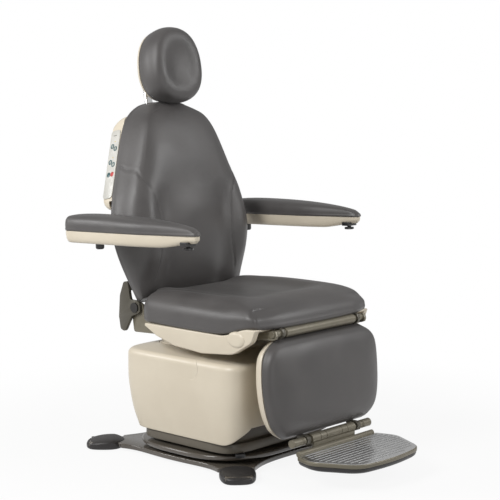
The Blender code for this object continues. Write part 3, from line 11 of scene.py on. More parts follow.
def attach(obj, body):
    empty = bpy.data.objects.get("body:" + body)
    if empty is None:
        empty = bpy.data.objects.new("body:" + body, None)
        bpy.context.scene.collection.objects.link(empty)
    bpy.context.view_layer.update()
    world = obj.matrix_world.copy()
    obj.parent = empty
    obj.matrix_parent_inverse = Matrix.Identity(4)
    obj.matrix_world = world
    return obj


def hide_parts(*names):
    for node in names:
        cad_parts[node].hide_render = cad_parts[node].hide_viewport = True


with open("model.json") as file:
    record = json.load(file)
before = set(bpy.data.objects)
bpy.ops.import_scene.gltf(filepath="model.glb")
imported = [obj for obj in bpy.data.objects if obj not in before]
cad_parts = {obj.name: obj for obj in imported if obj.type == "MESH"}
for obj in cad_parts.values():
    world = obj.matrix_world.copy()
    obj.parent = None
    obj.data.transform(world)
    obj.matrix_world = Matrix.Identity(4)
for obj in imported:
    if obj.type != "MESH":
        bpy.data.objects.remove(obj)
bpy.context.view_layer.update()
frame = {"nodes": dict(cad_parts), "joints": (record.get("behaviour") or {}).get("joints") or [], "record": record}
nodes = frame["nodes"]
spots = {j["name"]: Vector(j["pos_m"]) for j in frame["joints"] if "pos_m" in j}
swivel = spots["swivel"]
print("frame loaded:", len(nodes), "nodes")

# local frames of the moving groups, at rest
baseFrame = Matrix.Translation((0, swivel.y, 0))
backFrame = Matrix.Translation(spots["back_recline"]) @ Matrix.Rotation(math.radians(-12), 4, "X")
headFrame = Matrix.Translation(spots["headrest_tilt"]) @ Matrix.Rotation(math.radians(-8), 4, "X")
legFrame = Matrix.Translation(spots["leg_raise"]) @ Matrix.Rotation(math.radians(-5), 4, "X")
footFrame = Matrix.Translation(spots["foot_fold"])
armFrames = {side: (Matrix.Translation(spots["arm_" + side + "_flip"])
                    @ Matrix.Rotation(math.radians(-2), 4, "X")) for side in ("right", "left")}
sideSign = {"right": -1, "left": 1}


# shape helpers
def smoothStep(t):
    t = min(max(t, 0.0), 1.0)
    return t * t * (3 - 2 * t)


def alongStations(stations, t):
    t = min(max(t, stations[0][0]), stations[-1][0])
    for i in range(len(stations) - 1):
        if t <= stations[i + 1][0]:
            break
    before, first = stations[max(i - 1, 0)], stations[i]
    second, after = stations[i + 1], stations[min(i + 2, len(stations) - 1)]
    span = second[0] - first[0]
    k = (t - first[0]) / span
    slopeA = (second[1] - before[1]) / (second[0] - before[0]) * span
    slopeB = (after[1] - first[1]) / (after[0] - first[0]) * span
    return (first[1] * (2 * k ** 3 - 3 * k * k + 1) + second[1] * (3 * k * k - 2 * k ** 3)
            + slopeA * (k ** 3 - 2 * k * k + k) + slopeB * (k ** 3 - k * k))


def evenLoop(points, count):  # the same closed line with evenly spaced points
    closed = [Vector(p) for p in points] + [Vector(points[0])]
    run = [0.0]
    for a, b in zip(closed, closed[1:]):
        run.append(run[-1] + (b - a).length)
    made, k = [], 0
    for i in range(count):
        want = run[-1] * i / count
        while run[k + 1] < want:
            k += 1
        share = (want - run[k]) / max(run[k + 1] - run[k], 1e-9)
        made.append(closed[k].lerp(closed[k + 1], share))
    return made


def superLoop(halfX, halfY, power, count, centre=(0, 0)):
    points = []
    for i in range(720):
        c, s = math.cos(math.tau * i / 720), math.sin(math.tau * i / 720)
        points.append((centre[0] + halfX * math.copysign(abs(c) ** (2 / power), c),
                       centre[1] + halfY * math.copysign(abs(s) ** (2 / power), s)))
    return evenLoop(points, count)


def roundedLine(corners, steps=8):  # corners are (x, y, radius)
    points = []
    for i, (x, y, radius) in enumerate(corners):
        here = Vector((x, y))
        into = (Vector(corners[i - 1][:2]) - here).normalized()
        away = (Vector(corners[(i + 1) % len(corners)][:2]) - here).normalized()
        half = into.angle(away) / 2
        if radius == 0 or abs(half - math.pi / 2) < 0.02:
            points.append(here)
            continue
        reach = radius / math.tan(half)
        start, end = here + into * reach, here + away * reach
        for k in range(steps + 1):
            t = k / steps
            points.append(start * (1 - t) ** 2 + here * 2 * t * (1 - t) + end * t ** 2)
    return points


def loftSkin(rings, closeStart=False, closeEnd=False):
    work = bmesh.new()
    rows = [[work.verts.new(p) for p in ring] for ring in rings]
    for low, high in zip(rows, rows[1:]):
        for i in range(len(low)):
            j = (i + 1) % len(low)
            work.faces.new((low[i], low[j], high[j], high[i]))
    if closeStart:
        work.faces.new(list(reversed(rows[0])))
    if closeEnd:
        work.faces.new(rows[-1])
    return work


def circleRing(radius, height, count):
    return [(radius * math.cos(math.tau * i / count), radius * math.sin(math.tau * i / count), height)
            for i in range(count)]


def turnSkin(profile, count=48):  # profile is (radius, height) from the top down
    return loftSkin([circleRing(radius, height, count) for radius, height in profile], True, True)


def tubeSkin(profile, count=40):  # a closed profile turned round its axis
    work = loftSkin([circleRing(radius, height, count) for radius, height in profile])
    bmesh.ops.remove_doubles(work, verts=work.verts, dist=1e-6)
    return work


def plainBox(x0, y0, x1, y1):
    return [(x0, y0), (x1, y0), (x1, y1), (x0, y1)]


def roundedBox(halfX, halfY, radius, steps, centre=(0, 0)):
    x, y = centre
    corners = plainBox(x - halfX, y - halfY, x + halfX, y + halfY)
    return [(p.x, p.y) for p in roundedLine([(*corner, radius) for corner in corners], steps)]


def slabSkin(outline, low, high, facing="up"):  # a flat outline given some thickness
    turn = {"up": lambda x, y, z: (x, y, z), "front": lambda x, y, z: (x, z, y),
            "side": lambda x, y, z: (z, x, y)}[facing]
    return loftSkin([[turn(x, y, z) for x, y in outline] for z in (low, high)], True, True)


def boxSkin(cells, form):  # the skin of a block of cells, moved onto a form
    work = bmesh.new()
    made = {}

    def corner(*at):
        if at not in made:
            made[at] = work.verts.new(form(*[2 * a / n - 1 for a, n in zip(at, cells)]))
        return made[at]

    for axis in range(3):
        u, v = (axis + 1) % 3, (axis + 2) % 3
        for level in (0, cells[axis]):
            for a in range(cells[u]):
                for b in range(cells[v]):
                    face = []
                    for da, db in ((0, 0), (1, 0), (1, 1), (0, 1)):
                        at = [0, 0, 0]
                        at[axis], at[u], at[v] = level, a + da, b + db
                        face.append(corner(*at))
                    work.faces.new(face)
    return work


def toObject(name, work, place=None):
    mesh = bpy.data.meshes.new(name)
    bmesh.ops.recalc_face_normals(work, faces=work.faces)
    work.to_mesh(mesh)
    work.free()
    if place is not None:
        mesh.transform(place)
    made = bpy.data.objects.new(name, mesh)
    bpy.context.scene.collection.objects.link(made)
    return made


def bake(piece):  # put the modifiers' result into the mesh
    graph = bpy.context.evaluated_depsgraph_get()
    mesh = bpy.data.meshes.new_from_object(piece.evaluated_get(graph))
    old = piece.data
    piece.modifiers.clear()
    piece.data = mesh
    bpy.data.meshes.remove(old)


def roundEdges(piece, width, segments=3, angle=35):
    edge = piece.modifiers.new("edge", "BEVEL")
    edge.width = width
    edge.segments = segments
    edge.limit_method = "ANGLE"
    edge.angle_limit = math.radians(angle)
    edge.harden_normals = False


def thicken(piece, wall):
    skin = piece.modifiers.new("wall", "SOLIDIFY")
    skin.thickness = wall
    skin.offset = -1
    skin.use_even_offset = True


def cutAway(piece, tool):
    step = piece.modifiers.new("cut", "BOOLEAN")
    step.operation = "DIFFERENCE"
    step.solver = "EXACT"
    step.object = tool
    bake(piece)
    bpy.data.objects.remove(tool, do_unlink=True)


def settle(piece, body, look, slot, *stoodFor, angle=35):  # finish, ride and stand for CAD nodes
    if piece.modifiers:
        bake(piece)
    piece.data.shade_smooth()
    piece.data.set_sharp_from_angle(angle=math.radians(angle))
    piece.data.materials.clear()
    piece.data.materials.append(look)
    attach(piece, body)
    if stoodFor:
        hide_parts(*stoodFor)
    return piece


# shader node groups shared by the finishes
def startGroup(name, inputs, outputs):
    tree = bpy.data.node_groups.new(name, "ShaderNodeTree")
    for label, value in inputs:
        tree.interface.new_socket(label, in_out="INPUT",
                                  socket_type="NodeSocketFloat").default_value = value
    for label in outputs:
        tree.interface.new_socket(label, in_out="OUTPUT", socket_type="NodeSocketFloat")
    return tree, tree.nodes.new("NodeGroupInput"), tree.nodes.new("NodeGroupOutput")


def put(tree, kind, **values):
    node = tree.nodes.new("ShaderNode" + kind)
    for key, value in values.items():
        setattr(node, key, value)
    return node


def setInputs(node, **values):
    for label, value in values.items():
        node.inputs[label].default_value = value
    return node


def wire(tree, start, startKey, end, endKey):
    tree.links.new(start.outputs[startKey], end.inputs[endKey])


def mathOf(tree, operation, *terms, clamp=False):  # each term is a number or a (node, socket) pair
    node = put(tree, "Math", operation=operation, use_clamp=clamp)
    for i, term in enumerate(terms):
        if isinstance(term, tuple):
            wire(tree, *term, node, i)
        else:
            node.inputs[i].default_value = term
    return node


def noiseAt(tree, place, key, **values):
    node = setInputs(put(tree, "TexNoise"), **values)
    wire(tree, place, key, node, "Vector")
    return node


def mixShaders(tree, mask, maskKey, first, second):
    node = put(tree, "MixShader")
    wire(tree, mask, maskKey, node, 0)
    wire(tree, first, 0, node, 1)
    wire(tree, second, 0, node, 2)
    return node


def stretchedPlace(tree, scale):  # object coordinates, pulled out along some axes
    mapping = setInputs(put(tree, "Mapping"), Scale=scale)
    wire(tree, put(tree, "TexCoord"), "Object", mapping, "Vector")
    return mapping


def remap(tree, start, startKey, low, high, toLow=0.0, toHigh=1.0):
    node = put(tree, "MapRange", interpolation_type="SMOOTHSTEP")
    setInputs(node, **{"From Min": low, "From Max": high, "To Min": toLow, "To Max": toHigh})
    wire(tree, start, startKey, node, "Value")
    return node


def pebbleGroup():  # embossed vinyl: fine pebbles, soft creases and cloudy tone
    tree, start, end = startGroup("pebbleGrain", [("Scale", 620.0), ("Crease", 0.6)], ["Height", "Tone"])
    place = put(tree, "TexCoord")
    cells = put(tree, "TexVoronoi", feature="DISTANCE_TO_EDGE")
    wire(tree, place, "Object", cells, "Vector")
    wire(tree, start, "Scale", cells, "Scale")
    pebble = remap(tree, cells, "Distance", 0.0, 0.30)
    cloud = noiseAt(tree, place, "Object", Scale=9.0, Detail=4.0)
    tone = remap(tree, cloud, "Fac", 0.30, 0.70)
    pulled = stretchedPlace(tree, (7.0, 34.0, 34.0))
    folds = noiseAt(tree, pulled, "Vector", Scale=1.0, Detail=2.0, Distortion=0.6)
    foldHeight = mathOf(tree, "MULTIPLY", (folds, "Fac"), (start, "Crease"))
    fine = mathOf(tree, "MULTIPLY", (pebble, "Result"), 0.16)
    both = mathOf(tree, "ADD", (fine, "Value"), (foldHeight, "Value"))
    wire(tree, both, "Value", end, "Height")
    wire(tree, tone, "Result", end, "Tone")
    return tree


def skinGroup():  # moulded or painted skin: fine orange peel, cloudy tone and rubbed streaks
    tree, start, end = startGroup("mouldSkin", [("Scale", 260.0)], ["Height", "Tone", "Scuff"])
    place = put(tree, "TexCoord")
    peel = noiseAt(tree, place, "Object", Detail=3.0)
    wire(tree, start, "Scale", peel, "Scale")
    cloud = noiseAt(tree, place, "Object", Scale=5.0, Detail=5.0)
    tone = remap(tree, cloud, "Fac", 0.32, 0.68)
    pulled = stretchedPlace(tree, (60.0, 60.0, 9.0))
    rub = noiseAt(tree, pulled, "Vector", Scale=2.0, Detail=6.0, Roughness=0.7)
    scuff = remap(tree, rub, "Fac", 0.60, 0.78)
    wire(tree, peel, "Fac", end, "Height")
    wire(tree, tone, "Result", end, "Tone")
    wire(tree, scuff, "Result", end, "Scuff")
    return tree


def wearGroup():  # lighter rubbed edges
    tree, start, end = startGroup("edgeWear", [("Low", 0.53), ("High", 0.60)], ["Mask"])
    patches = noiseAt(tree, put(tree, "TexCoord"), "Object", Scale=45.0, Detail=4.0)
    edge = put(tree, "MapRange")
    wire(tree, put(tree, "NewGeometry"), "Pointiness", edge, "Value")
    wire(tree, start, "Low", edge, "From Min")
    wire(tree, start, "High", edge, "From Max")
    broken = remap(tree, patches, "Fac", 0.40, 0.62)
    mask = mathOf(tree, "MULTIPLY", (edge, "Result"), (broken, "Result"), clamp=True)
    wire(tree, mask, "Value", end, "Mask")
    return tree


def brushGroup():  # drawn metal: long fine lines across X
    tree, start, end = startGroup("brushLines", [("Contrast", 0.5)], ["Height", "Tone"])
    pulled = stretchedPlace(tree, (14.0, 900.0, 900.0))
    lines = noiseAt(tree, pulled, "Vector", Scale=1.0, Detail=3.0)
    cloud = noiseAt(tree, put(tree, "TexCoord"), "Object", Scale=22.0, Detail=5.0)
    mixed = put(tree, "Mix", data_type="FLOAT")
    wire(tree, start, "Contrast", mixed, "Factor")
    wire(tree, cloud, "Fac", mixed, 2)
    wire(tree, lines, "Fac", mixed, 3)
    wire(tree, lines, "Fac", end, "Height")
    wire(tree, mixed, 0, end, "Tone")
    return tree


def dustGroup():  # a thin settled film on faces that look up
    tree, start, end = startGroup("settledDust", [("Amount", 0.2)], ["Mask"])
    split = put(tree, "SeparateXYZ")
    wire(tree, put(tree, "NewGeometry"), "Normal", split, "Vector")
    up = remap(tree, split, "Z", 0.55, 1.0)
    drift = noiseAt(tree, put(tree, "TexCoord"), "Object", Scale=16.0, Detail=6.0)
    film = mathOf(tree, "MULTIPLY", (up, "Result"), (drift, "Fac"))
    scaled = mathOf(tree, "MULTIPLY", (film, "Value"), (start, "Amount"), clamp=True)
    wire(tree, scaled, "Value", end, "Mask")
    return tree


groups = {"pebble": pebbleGroup(), "skin": skinGroup(), "wear": wearGroup(), "brush": brushGroup(),
          "dust": dustGroup()}


def useGroup(tree, key, **values):
    return setInputs(put(tree, "Group", node_tree=groups[key]), **values)


def mixColours(tree, mask, maskKey, first, second):  # each colour is a constant or a (node, socket) pair
    node = put(tree, "Mix", data_type="RGBA")
    wire(tree, mask, maskKey, node, 0)
    for at, colour in ((6, first), (7, second)):
        if isinstance(colour, tuple) and isinstance(colour[0], bpy.types.Node):
            wire(tree, colour[0], colour[1], node, at)
        else:
            node.inputs[at].default_value = (*colour, 1.0)
    return node


def startLook(name, **constants):
    look = bpy.data.materials.new(name)
    look.use_nodes = True
    shader = setInputs(look.node_tree.nodes["Principled BSDF"], **constants)
    return look, look.node_tree, shader


def bumpInto(tree, shader, height, heightKey, strength, distance):
    bump = setInputs(put(tree, "Bump"), Strength=strength, Distance=distance)
    wire(tree, height, heightKey, bump, "Height")
    wire(tree, bump, "Normal", shader, "Normal")
    return bump


vinylSettings = {"dark": (0.064, 0.0595, 0.058), "light": (0.080, 0.0745, 0.0725),
                 "dusty": (0.16, 0.155, 0.15), "gloss": (0.40, 0.50), "grain": 620.0, "crease": 0.75,
                 "bump": 0.22, "depth": 0.0011}


def vinylLook(name, settings, **changes):
    s = {**settings, **changes}
    look, tree, shader = startLook(name, **{"Specular IOR Level": 0.62, "Sheen Weight": 0.04,
                                            "Sheen Roughness": 0.5})
    grain = useGroup(tree, "pebble", Scale=s["grain"], Crease=s["crease"])
    dust = useGroup(tree, "dust", Amount=0.10)
    wear = useGroup(tree, "wear", Low=0.56, High=0.70)
    cloth = mixColours(tree, grain, "Tone", s["dark"], s["light"])
    rubbed = mixColours(tree, wear, "Mask", (cloth, 2), s["dusty"])
    colour = mixColours(tree, dust, "Mask", (rubbed, 2), s["dusty"])
    wire(tree, colour, 2, shader, "Base Color")
    rough = remap(tree, grain, "Tone", 0.0, 1.0, *s["gloss"])
    wire(tree, rough, "Result", shader, "Roughness")
    bumpInto(tree, shader, grain, "Height", s["bump"], s["depth"])
    return look


def skinLook(name, s):  # mouldings and paints
    look, tree, shader = startLook(name, **s.get("constants", {}))
    skin = useGroup(tree, "skin", Scale=s["peel"])
    wear = useGroup(tree, "wear", Low=0.53, High=0.62)
    dust = useGroup(tree, "dust", Amount=s["dust"])
    plain = mixColours(tree, skin, "Tone", s["dark"], s["light"])
    rubbed = mixColours(tree, wear, "Mask", (plain, 2), s["worn"])
    colour = mixColours(tree, dust, "Mask", (rubbed, 2), s["dusty"])
    wire(tree, colour, 2, shader, "Base Color")
    rough = remap(tree, skin, "Scuff", 0.0, 1.0, *s["gloss"])
    wire(tree, rough, "Result", shader, "Roughness")
    bump = bumpInto(tree, shader, skin, "Height", s["bump"], s["depth"])
    return look, tree, bump


def metalLook(name, s):
    look, tree, shader = startLook(name, **{"Metallic": s["metal"], "Anisotropic": s.get("drawn", 0.0)})
    lines = useGroup(tree, "brush", Contrast=s["contrast"])
    skin = useGroup(tree, "skin", Scale=180.0)
    plain = mixColours(tree, lines, "Tone", s["dark"], s["light"])
    colour = mixColours(tree, skin, "Scuff", (plain, 2), s["worn"])
    wire(tree, colour, 2, shader, "Base Color")
    rough = remap(tree, lines, "Tone", 0.3, 0.7, *s["gloss"])
    wire(tree, rough, "Result", shader, "Roughness")
    bumpInto(tree, shader, lines, "Height", s["bump"], s["depth"])
    return look


skinSettings = {
    "ivory": {"dark": (0.69, 0.615, 0.49), "light": (0.74, 0.665, 0.535), "worn": (0.78, 0.71, 0.6),
              "dusty": (0.6, 0.55, 0.47), "gloss": (0.34, 0.46), "peel": 340.0, "bump": 0.06,
              "depth": 0.0006, "dust": 0.25,
              "constants": {"Specular IOR Level": 0.45, "Coat Weight": 0.06, "Coat Roughness": 0.3}},
    "taupe": {"dark": (0.165, 0.148, 0.108), "light": (0.195, 0.174, 0.128),
              "worn": (0.205, 0.186, 0.14), "dusty": (0.22, 0.205, 0.165), "gloss": (0.34, 0.5),
              "peel": 420.0, "bump": 0.1, "depth": 0.0005, "dust": 0.25,
              "constants": {"Metallic": 0.25, "Specular IOR Level": 0.5}},
    # a darker copy of the taupe paint: painted shade for the back and leg frames, which sit in shadow
    "taupePaintedShade": {"dark": (0.085, 0.077, 0.06), "light": (0.105, 0.095, 0.074),
                  "worn": (0.15, 0.14, 0.11), "dusty": (0.16, 0.15, 0.12), "gloss": (0.34, 0.5),
                  "peel": 420.0, "bump": 0.1, "depth": 0.0005, "dust": 0.2,
                  "constants": {"Metallic": 0.2, "Specular IOR Level": 0.5}},
    "basePaint": {"dark": (0.07, 0.058, 0.045), "light": (0.09, 0.075, 0.059),
                  "worn": (0.22, 0.2, 0.17), "dusty": (0.26, 0.24, 0.21), "gloss": (0.2, 0.36),
                  "peel": 300.0, "bump": 0.08, "depth": 0.0005, "dust": 0.3,
                  "constants": {"Specular IOR Level": 0.6, "Coat Weight": 0.4, "Coat Roughness": 0.12}},
    "plinth": {"dark": (0.118, 0.102, 0.078), "light": (0.142, 0.124, 0.097),
               "worn": (0.14, 0.13, 0.11), "dusty": (0.18, 0.16, 0.14), "gloss": (0.4, 0.55),
               "peel": 500.0, "bump": 0.18, "depth": 0.0006, "dust": 0.35,
               "constants": {"Specular IOR Level": 0.4}},
    "bootRubber": {"dark": (0.02, 0.018, 0.018), "light": (0.03, 0.027, 0.027),
                   "worn": (0.05, 0.047, 0.048), "dusty": (0.1, 0.095, 0.09), "gloss": (0.42, 0.6),
                   "peel": 700.0, "bump": 0.25, "depth": 0.0008, "dust": 0.35,
                   "constants": {"Specular IOR Level": 0.45}},
    "black": {"dark": (0.01, 0.01, 0.011), "light": (0.018, 0.017, 0.018), "worn": (0.09, 0.09, 0.09),
              "dusty": (0.1, 0.1, 0.1), "gloss": (0.32, 0.48), "peel": 600.0, "bump": 0.12,
              "depth": 0.0005, "dust": 0.2, "constants": {"Specular IOR Level": 0.5}},
    "panelWhite": {"dark": (0.56, 0.55, 0.505), "light": (0.61, 0.6, 0.555), "worn": (0.8, 0.78, 0.74),
                   "dusty": (0.62, 0.6, 0.56), "gloss": (0.28, 0.4), "peel": 420.0, "bump": 0.05,
                   "depth": 0.0004, "dust": 0.1, "constants": {"Specular IOR Level": 0.5}},
    "padTeal": {"dark": (0.018, 0.075, 0.085), "light": (0.028, 0.1, 0.11), "worn": (0.1, 0.2, 0.21),
                "dusty": (0.16, 0.2, 0.2), "gloss": (0.3, 0.42), "peel": 500.0, "bump": 0.06,
                "depth": 0.0003, "dust": 0.1, "constants": {"Specular IOR Level": 0.5}},
    "padRed": {"dark": (0.5, 0.035, 0.035), "light": (0.58, 0.055, 0.05), "worn": (0.62, 0.15, 0.14),
               "dusty": (0.5, 0.3, 0.28), "gloss": (0.3, 0.42), "peel": 500.0, "bump": 0.06,
               "depth": 0.0003, "dust": 0.1, "constants": {"Specular IOR Level": 0.5}},
    "amber": {"dark": (0.55, 0.38, 0.07), "light": (0.62, 0.44, 0.1), "worn": (0.66, 0.52, 0.22),
              "dusty": (0.5, 0.42, 0.3), "gloss": (0.35, 0.45), "peel": 500.0, "bump": 0.04,
              "depth": 0.0003, "dust": 0.1, "constants": {"Specular IOR Level": 0.5}},
}
metalSettings = {
    "steel": {"metal": 1.0, "dark": (0.4, 0.4, 0.41), "light": (0.55, 0.55, 0.55),
              "worn": (0.62, 0.62, 0.62), "contrast": 0.6, "gloss": (0.26, 0.4), "bump": 0.05,
              "depth": 0.0003, "drawn": 0.3},
    "aluminium": {"metal": 1.0, "dark": (0.66, 0.66, 0.655), "light": (0.8, 0.8, 0.795),
                  "worn": (0.88, 0.88, 0.88), "contrast": 0.7, "gloss": (0.17, 0.28), "bump": 0.04,
                  "depth": 0.0003, "drawn": 0.35},
    "chrome": {"metal": 1.0, "dark": (0.9, 0.9, 0.9), "light": (0.95, 0.95, 0.95),
               "worn": (0.96, 0.96, 0.96), "contrast": 0.3, "gloss": (0.05, 0.1), "bump": 0.01,
               "depth": 0.0001},
    "blackened": {"metal": 0.8, "dark": (0.045, 0.043, 0.042), "light": (0.065, 0.062, 0.06),
                  "worn": (0.16, 0.155, 0.15), "contrast": 0.4, "gloss": (0.35, 0.5), "bump": 0.05,
                  "depth": 0.0003},
    # a darker, rougher copy of the aluminium; the darker colour is painted shade so the tread ribs read as dark
    # lines
    "ribMetalPaintedShade": {"metal": 1.0, "dark": (0.34, 0.34, 0.34), "light": (0.42, 0.42, 0.415),
                 "worn": (0.5, 0.5, 0.5), "contrast": 0.3, "gloss": (0.42, 0.52), "bump": 0.02,
                 "depth": 0.0002},
}
looks = {"vinyl": vinylLook("vinyl", vinylSettings),
         # a darker copy of the vinyl for the seam beads: painted shade in the seam crease
         "vinylSeamPaintedShade": vinylLook("vinylSeamPaintedShade", vinylSettings, dark=(0.030, 0.028, 0.027),
                                light=(0.040, 0.037, 0.035)),
         "thread": vinylLook("thread", vinylSettings, dark=(0.075, 0.070, 0.066),
                             light=(0.10, 0.094, 0.09), grain=2400.0, crease=0.1)}
for key, settings in skinSettings.items():
    looks[key] = skinLook(key, settings)[0]
for key, settings in metalSettings.items():
    looks[key] = metalLook(key, settings)
slotLook = {"vinyl": "vinyl", "ivory": "ivory", "taupe": "taupe", "base_paint": "basePaint",
            "plinth": "plinth", "boot_rubber": "bootRubber", "steel": "steel", "aluminium": "aluminium",
            "black": "black", "panel_white": "panelWhite", "pad_teal": "padTeal", "pad_red": "padRed"}


def coverLook(settings, scoop):  # the ivory skin with a thumb scoop pressed into each side
    look, tree, bump = skinLook("ivoryCover", settings)
    split = put(tree, "SeparateXYZ")
    wire(tree, put(tree, "TexCoord"), "Object", split, "Vector")
    offsets = [mathOf(tree, "SUBTRACT", (split, axis), centre)
               for axis, centre in (("Y", scoop["y"]), ("Z", scoop["z"]))]
    flat = put(tree, "CombineXYZ")
    wire(tree, offsets[0], 0, flat, "X")
    wire(tree, offsets[1], 0, flat, "Y")
    reach = put(tree, "VectorMath", operation="LENGTH")
    wire(tree, flat, "Vector", reach, 0)
    inside = remap(tree, reach, "Value", scoop["radius"] - 0.0025, scoop["radius"], 1.0, 0.0)
    slope = remap(tree, offsets[0], 0, scoop["radius"] * 0.2, -scoop["radius"], 0.0, 1.0)
    dip = mathOf(tree, "MULTIPLY", (inside, "Result"), (slope, "Result"))
    press = setInputs(put(tree, "Bump", invert=True), Strength=0.8, Distance=scoop["depth"])
    wire(tree, dip, "Value", press, "Height")
    wire(tree, bump, "Normal", press, "Normal")
    wire(tree, press, "Normal", tree.nodes["Principled BSDF"], "Normal")
    return look


looks["ivoryCover"] = coverLook(skinSettings["ivory"], {"y": swivel.y - 0.0905, "z": 0.291,
                                                        "radius": 0.033, "depth": 0.004})
print("finishes made:", len(looks))

# camera at the photograph's place
cameraSettings = {"place": (-3.080, swivel.y - 2.854, 1.120), "turn": (82.894, 0, -48.136),
                  "lens": 102.59}
lens = bpy.data.cameras.new("camera")
lens.sensor_width = 36
lens.lens = cameraSettings["lens"]
camera = bpy.data.objects.new("camera", lens)
camera.location = cameraSettings["place"]
camera.rotation_euler = [math.radians(a) for a in cameraSettings["turn"]]
bpy.context.scene.collection.objects.link(camera)
bpy.context.scene.camera = camera

# floor base
baseSettings = {"halfWidth": 0.246, "halfDepth": 0.235, "low": 0.008, "thick": 0.014,
                "angle": math.radians(47.5), "reach": 0.412, "legWidth": 0.078, "shoulder": 0.052,
                "flare": 0.060, "bootLength": 0.104, "bootWidth": 0.108, "bootHeight": 0.0364,
                "bootTail": 0.022, "bootWall": 0.012, "sole": 0.0024, "gap": 0.0003}


def legWay(reach, across, angle):
    out = Vector((math.cos(angle), math.sin(angle)))
    return out * reach + Vector((-out.y, out.x)) * across


def bezierRun(p0, p1, p2, p3, steps):
    return [p0 * (1 - t) ** 3 + p1 * 3 * (1 - t) ** 2 * t + p2 * 3 * (1 - t) * t * t + p3 * t ** 3
            for t in (k / steps for k in range(steps))]


def buildBase(s):
    root = s["reach"] + s["bootWall"] - s["bootLength"] - 0.004
    half, angle = s["legWidth"] / 2, s["angle"]
    out = legWay(1, 0, angle)
    near, far = legWay(root, -s["shoulder"], angle), legWay(root, s["shoulder"], angle)
    nearFlare = (out + Vector((0, 1))).normalized() * s["flare"]
    farFlare = (out + Vector((1, 0))).normalized() * s["flare"]
    run = bezierRun(Vector((s["halfWidth"], 0)), Vector((s["halfWidth"], 0.5 * near.y)), near - nearFlare,
                    near, 18)
    run += [near] + [legWay(reach, across, angle) for reach, across in
                     ((root, -half), (s["reach"], -half), (s["reach"], half), (root, half))]
    run += bezierRun(far, far - farFlare, Vector((0.5 * far.x, s["halfDepth"])),
                     Vector((0, s["halfDepth"])), 18)
    run.append(Vector((0, s["halfDepth"])))
    outline = [(p.x, p.y) for p in run]
    outline += [(-p.x, p.y) for p in reversed(run[:-1])]
    outline += [(-p.x, -p.y) for p in run[1:]]
    outline += [(p.x, -p.y) for p in reversed(run[1:-1])]
    plate = toObject("floorBase", slabSkin(outline, s["low"], s["low"] + s["thick"]), baseFrame)
    roundEdges(plate, 0.0028, 3, 50)
    settle(plate, "floor_base", looks["basePaint"], "base_paint", "base_plate")

    def bootForm(u, v, w):
        outer = max(u, 0)
        inner = max(-u, 0)
        x = u * s["bootLength"] / 2 * (1 - 0.10 * v * v) - s["bootTail"] * inner * (1 - 0.8 * v * v)
        y = v * s["bootWidth"] / 2 * (1 - 0.22 * outer - 0.10 * inner)
        z = (w + 1) / 2 * s["bootHeight"] * (1 - 0.34 * outer * outer) * (1 - 0.10 * v * v)
        return Vector((x, y, z))

    middle = s["reach"] + s["bootWall"] - s["bootLength"] / 2
    ways = {"front_left": -angle, "rear_left": angle, "front_right": math.pi + angle,
            "rear_right": math.pi - angle}
    for place, way in ways.items():
        spot = legWay(middle, 0, way)
        boot = toObject("boot_" + place, boxSkin((2, 2, 2), bootForm))
        soft = boot.modifiers.new("round", "SUBSURF")
        soft.levels = 4
        bake(boot)
        for vert in boot.data.vertices:
            vert.co.z = max(vert.co.z - s["sole"], 0.0)
            lip = smoothStep((-vert.co.x - 0.028) / 0.030) * smoothStep((vert.co.z - 0.016) / 0.006)
            vert.co.z -= 0.0040 * lip  # the top falls toward the leg
        gap = s["gap"]
        end = s["bootLength"] / 2 - s["bootWall"] + gap
        hole = plainBox(-s["bootLength"], -half - gap, end, half + gap)
        pocket = toObject("pocket", slabSkin(hole, s["low"] - gap, s["low"] + s["thick"] + gap))
        cutAway(boot, pocket)
        boot.data.transform(baseFrame @ Matrix.Translation((spot.x, spot.y, 0))
                            @ Matrix.Rotation(way, 4, "Z"))
        settle(boot, "floor_base", looks["bootRubber"], "boot_rubber", "leg_boot_" + place, angle=40)


buildBase(baseSettings)
print("floor base done")

# turntable, plinth and cover
plinthSettings = {"tableHalf": (0.254, 0.228), "tableY": -0.025, "tableLow": 0.0327, "tableThick": 0.014,
                  "half": (0.236, 0.190), "y": -0.046, "low": 0.0567, "height": 0.028, "apron": 0.085,
                  "inset": 0.016, "wall": 0.004, "spacer": (0.13, 0.12)}
coverSettings = {"half": (0.253, 0.2335), "y": -0.0365, "low": 0.085, "height": 0.242, "wall": 0.0035,
                 "lean": 0.026, "shoulder": (0.016, 0.0189), "archDepth": 0.056, "archHeight": 0.048,
                 "setBack": 0.0125, "opening": (0.1678, 0.1418),
                 "tuck": ((0, 0.011), (0.22, 0.005), (0.55, 0.0), (0.88, 0.0), (1, 0.0)),
                 "leanBy": ((0, 1.0), (0.22, 0.45), (0.55, 0.08), (0.88, 0.0), (1, 0.0))}


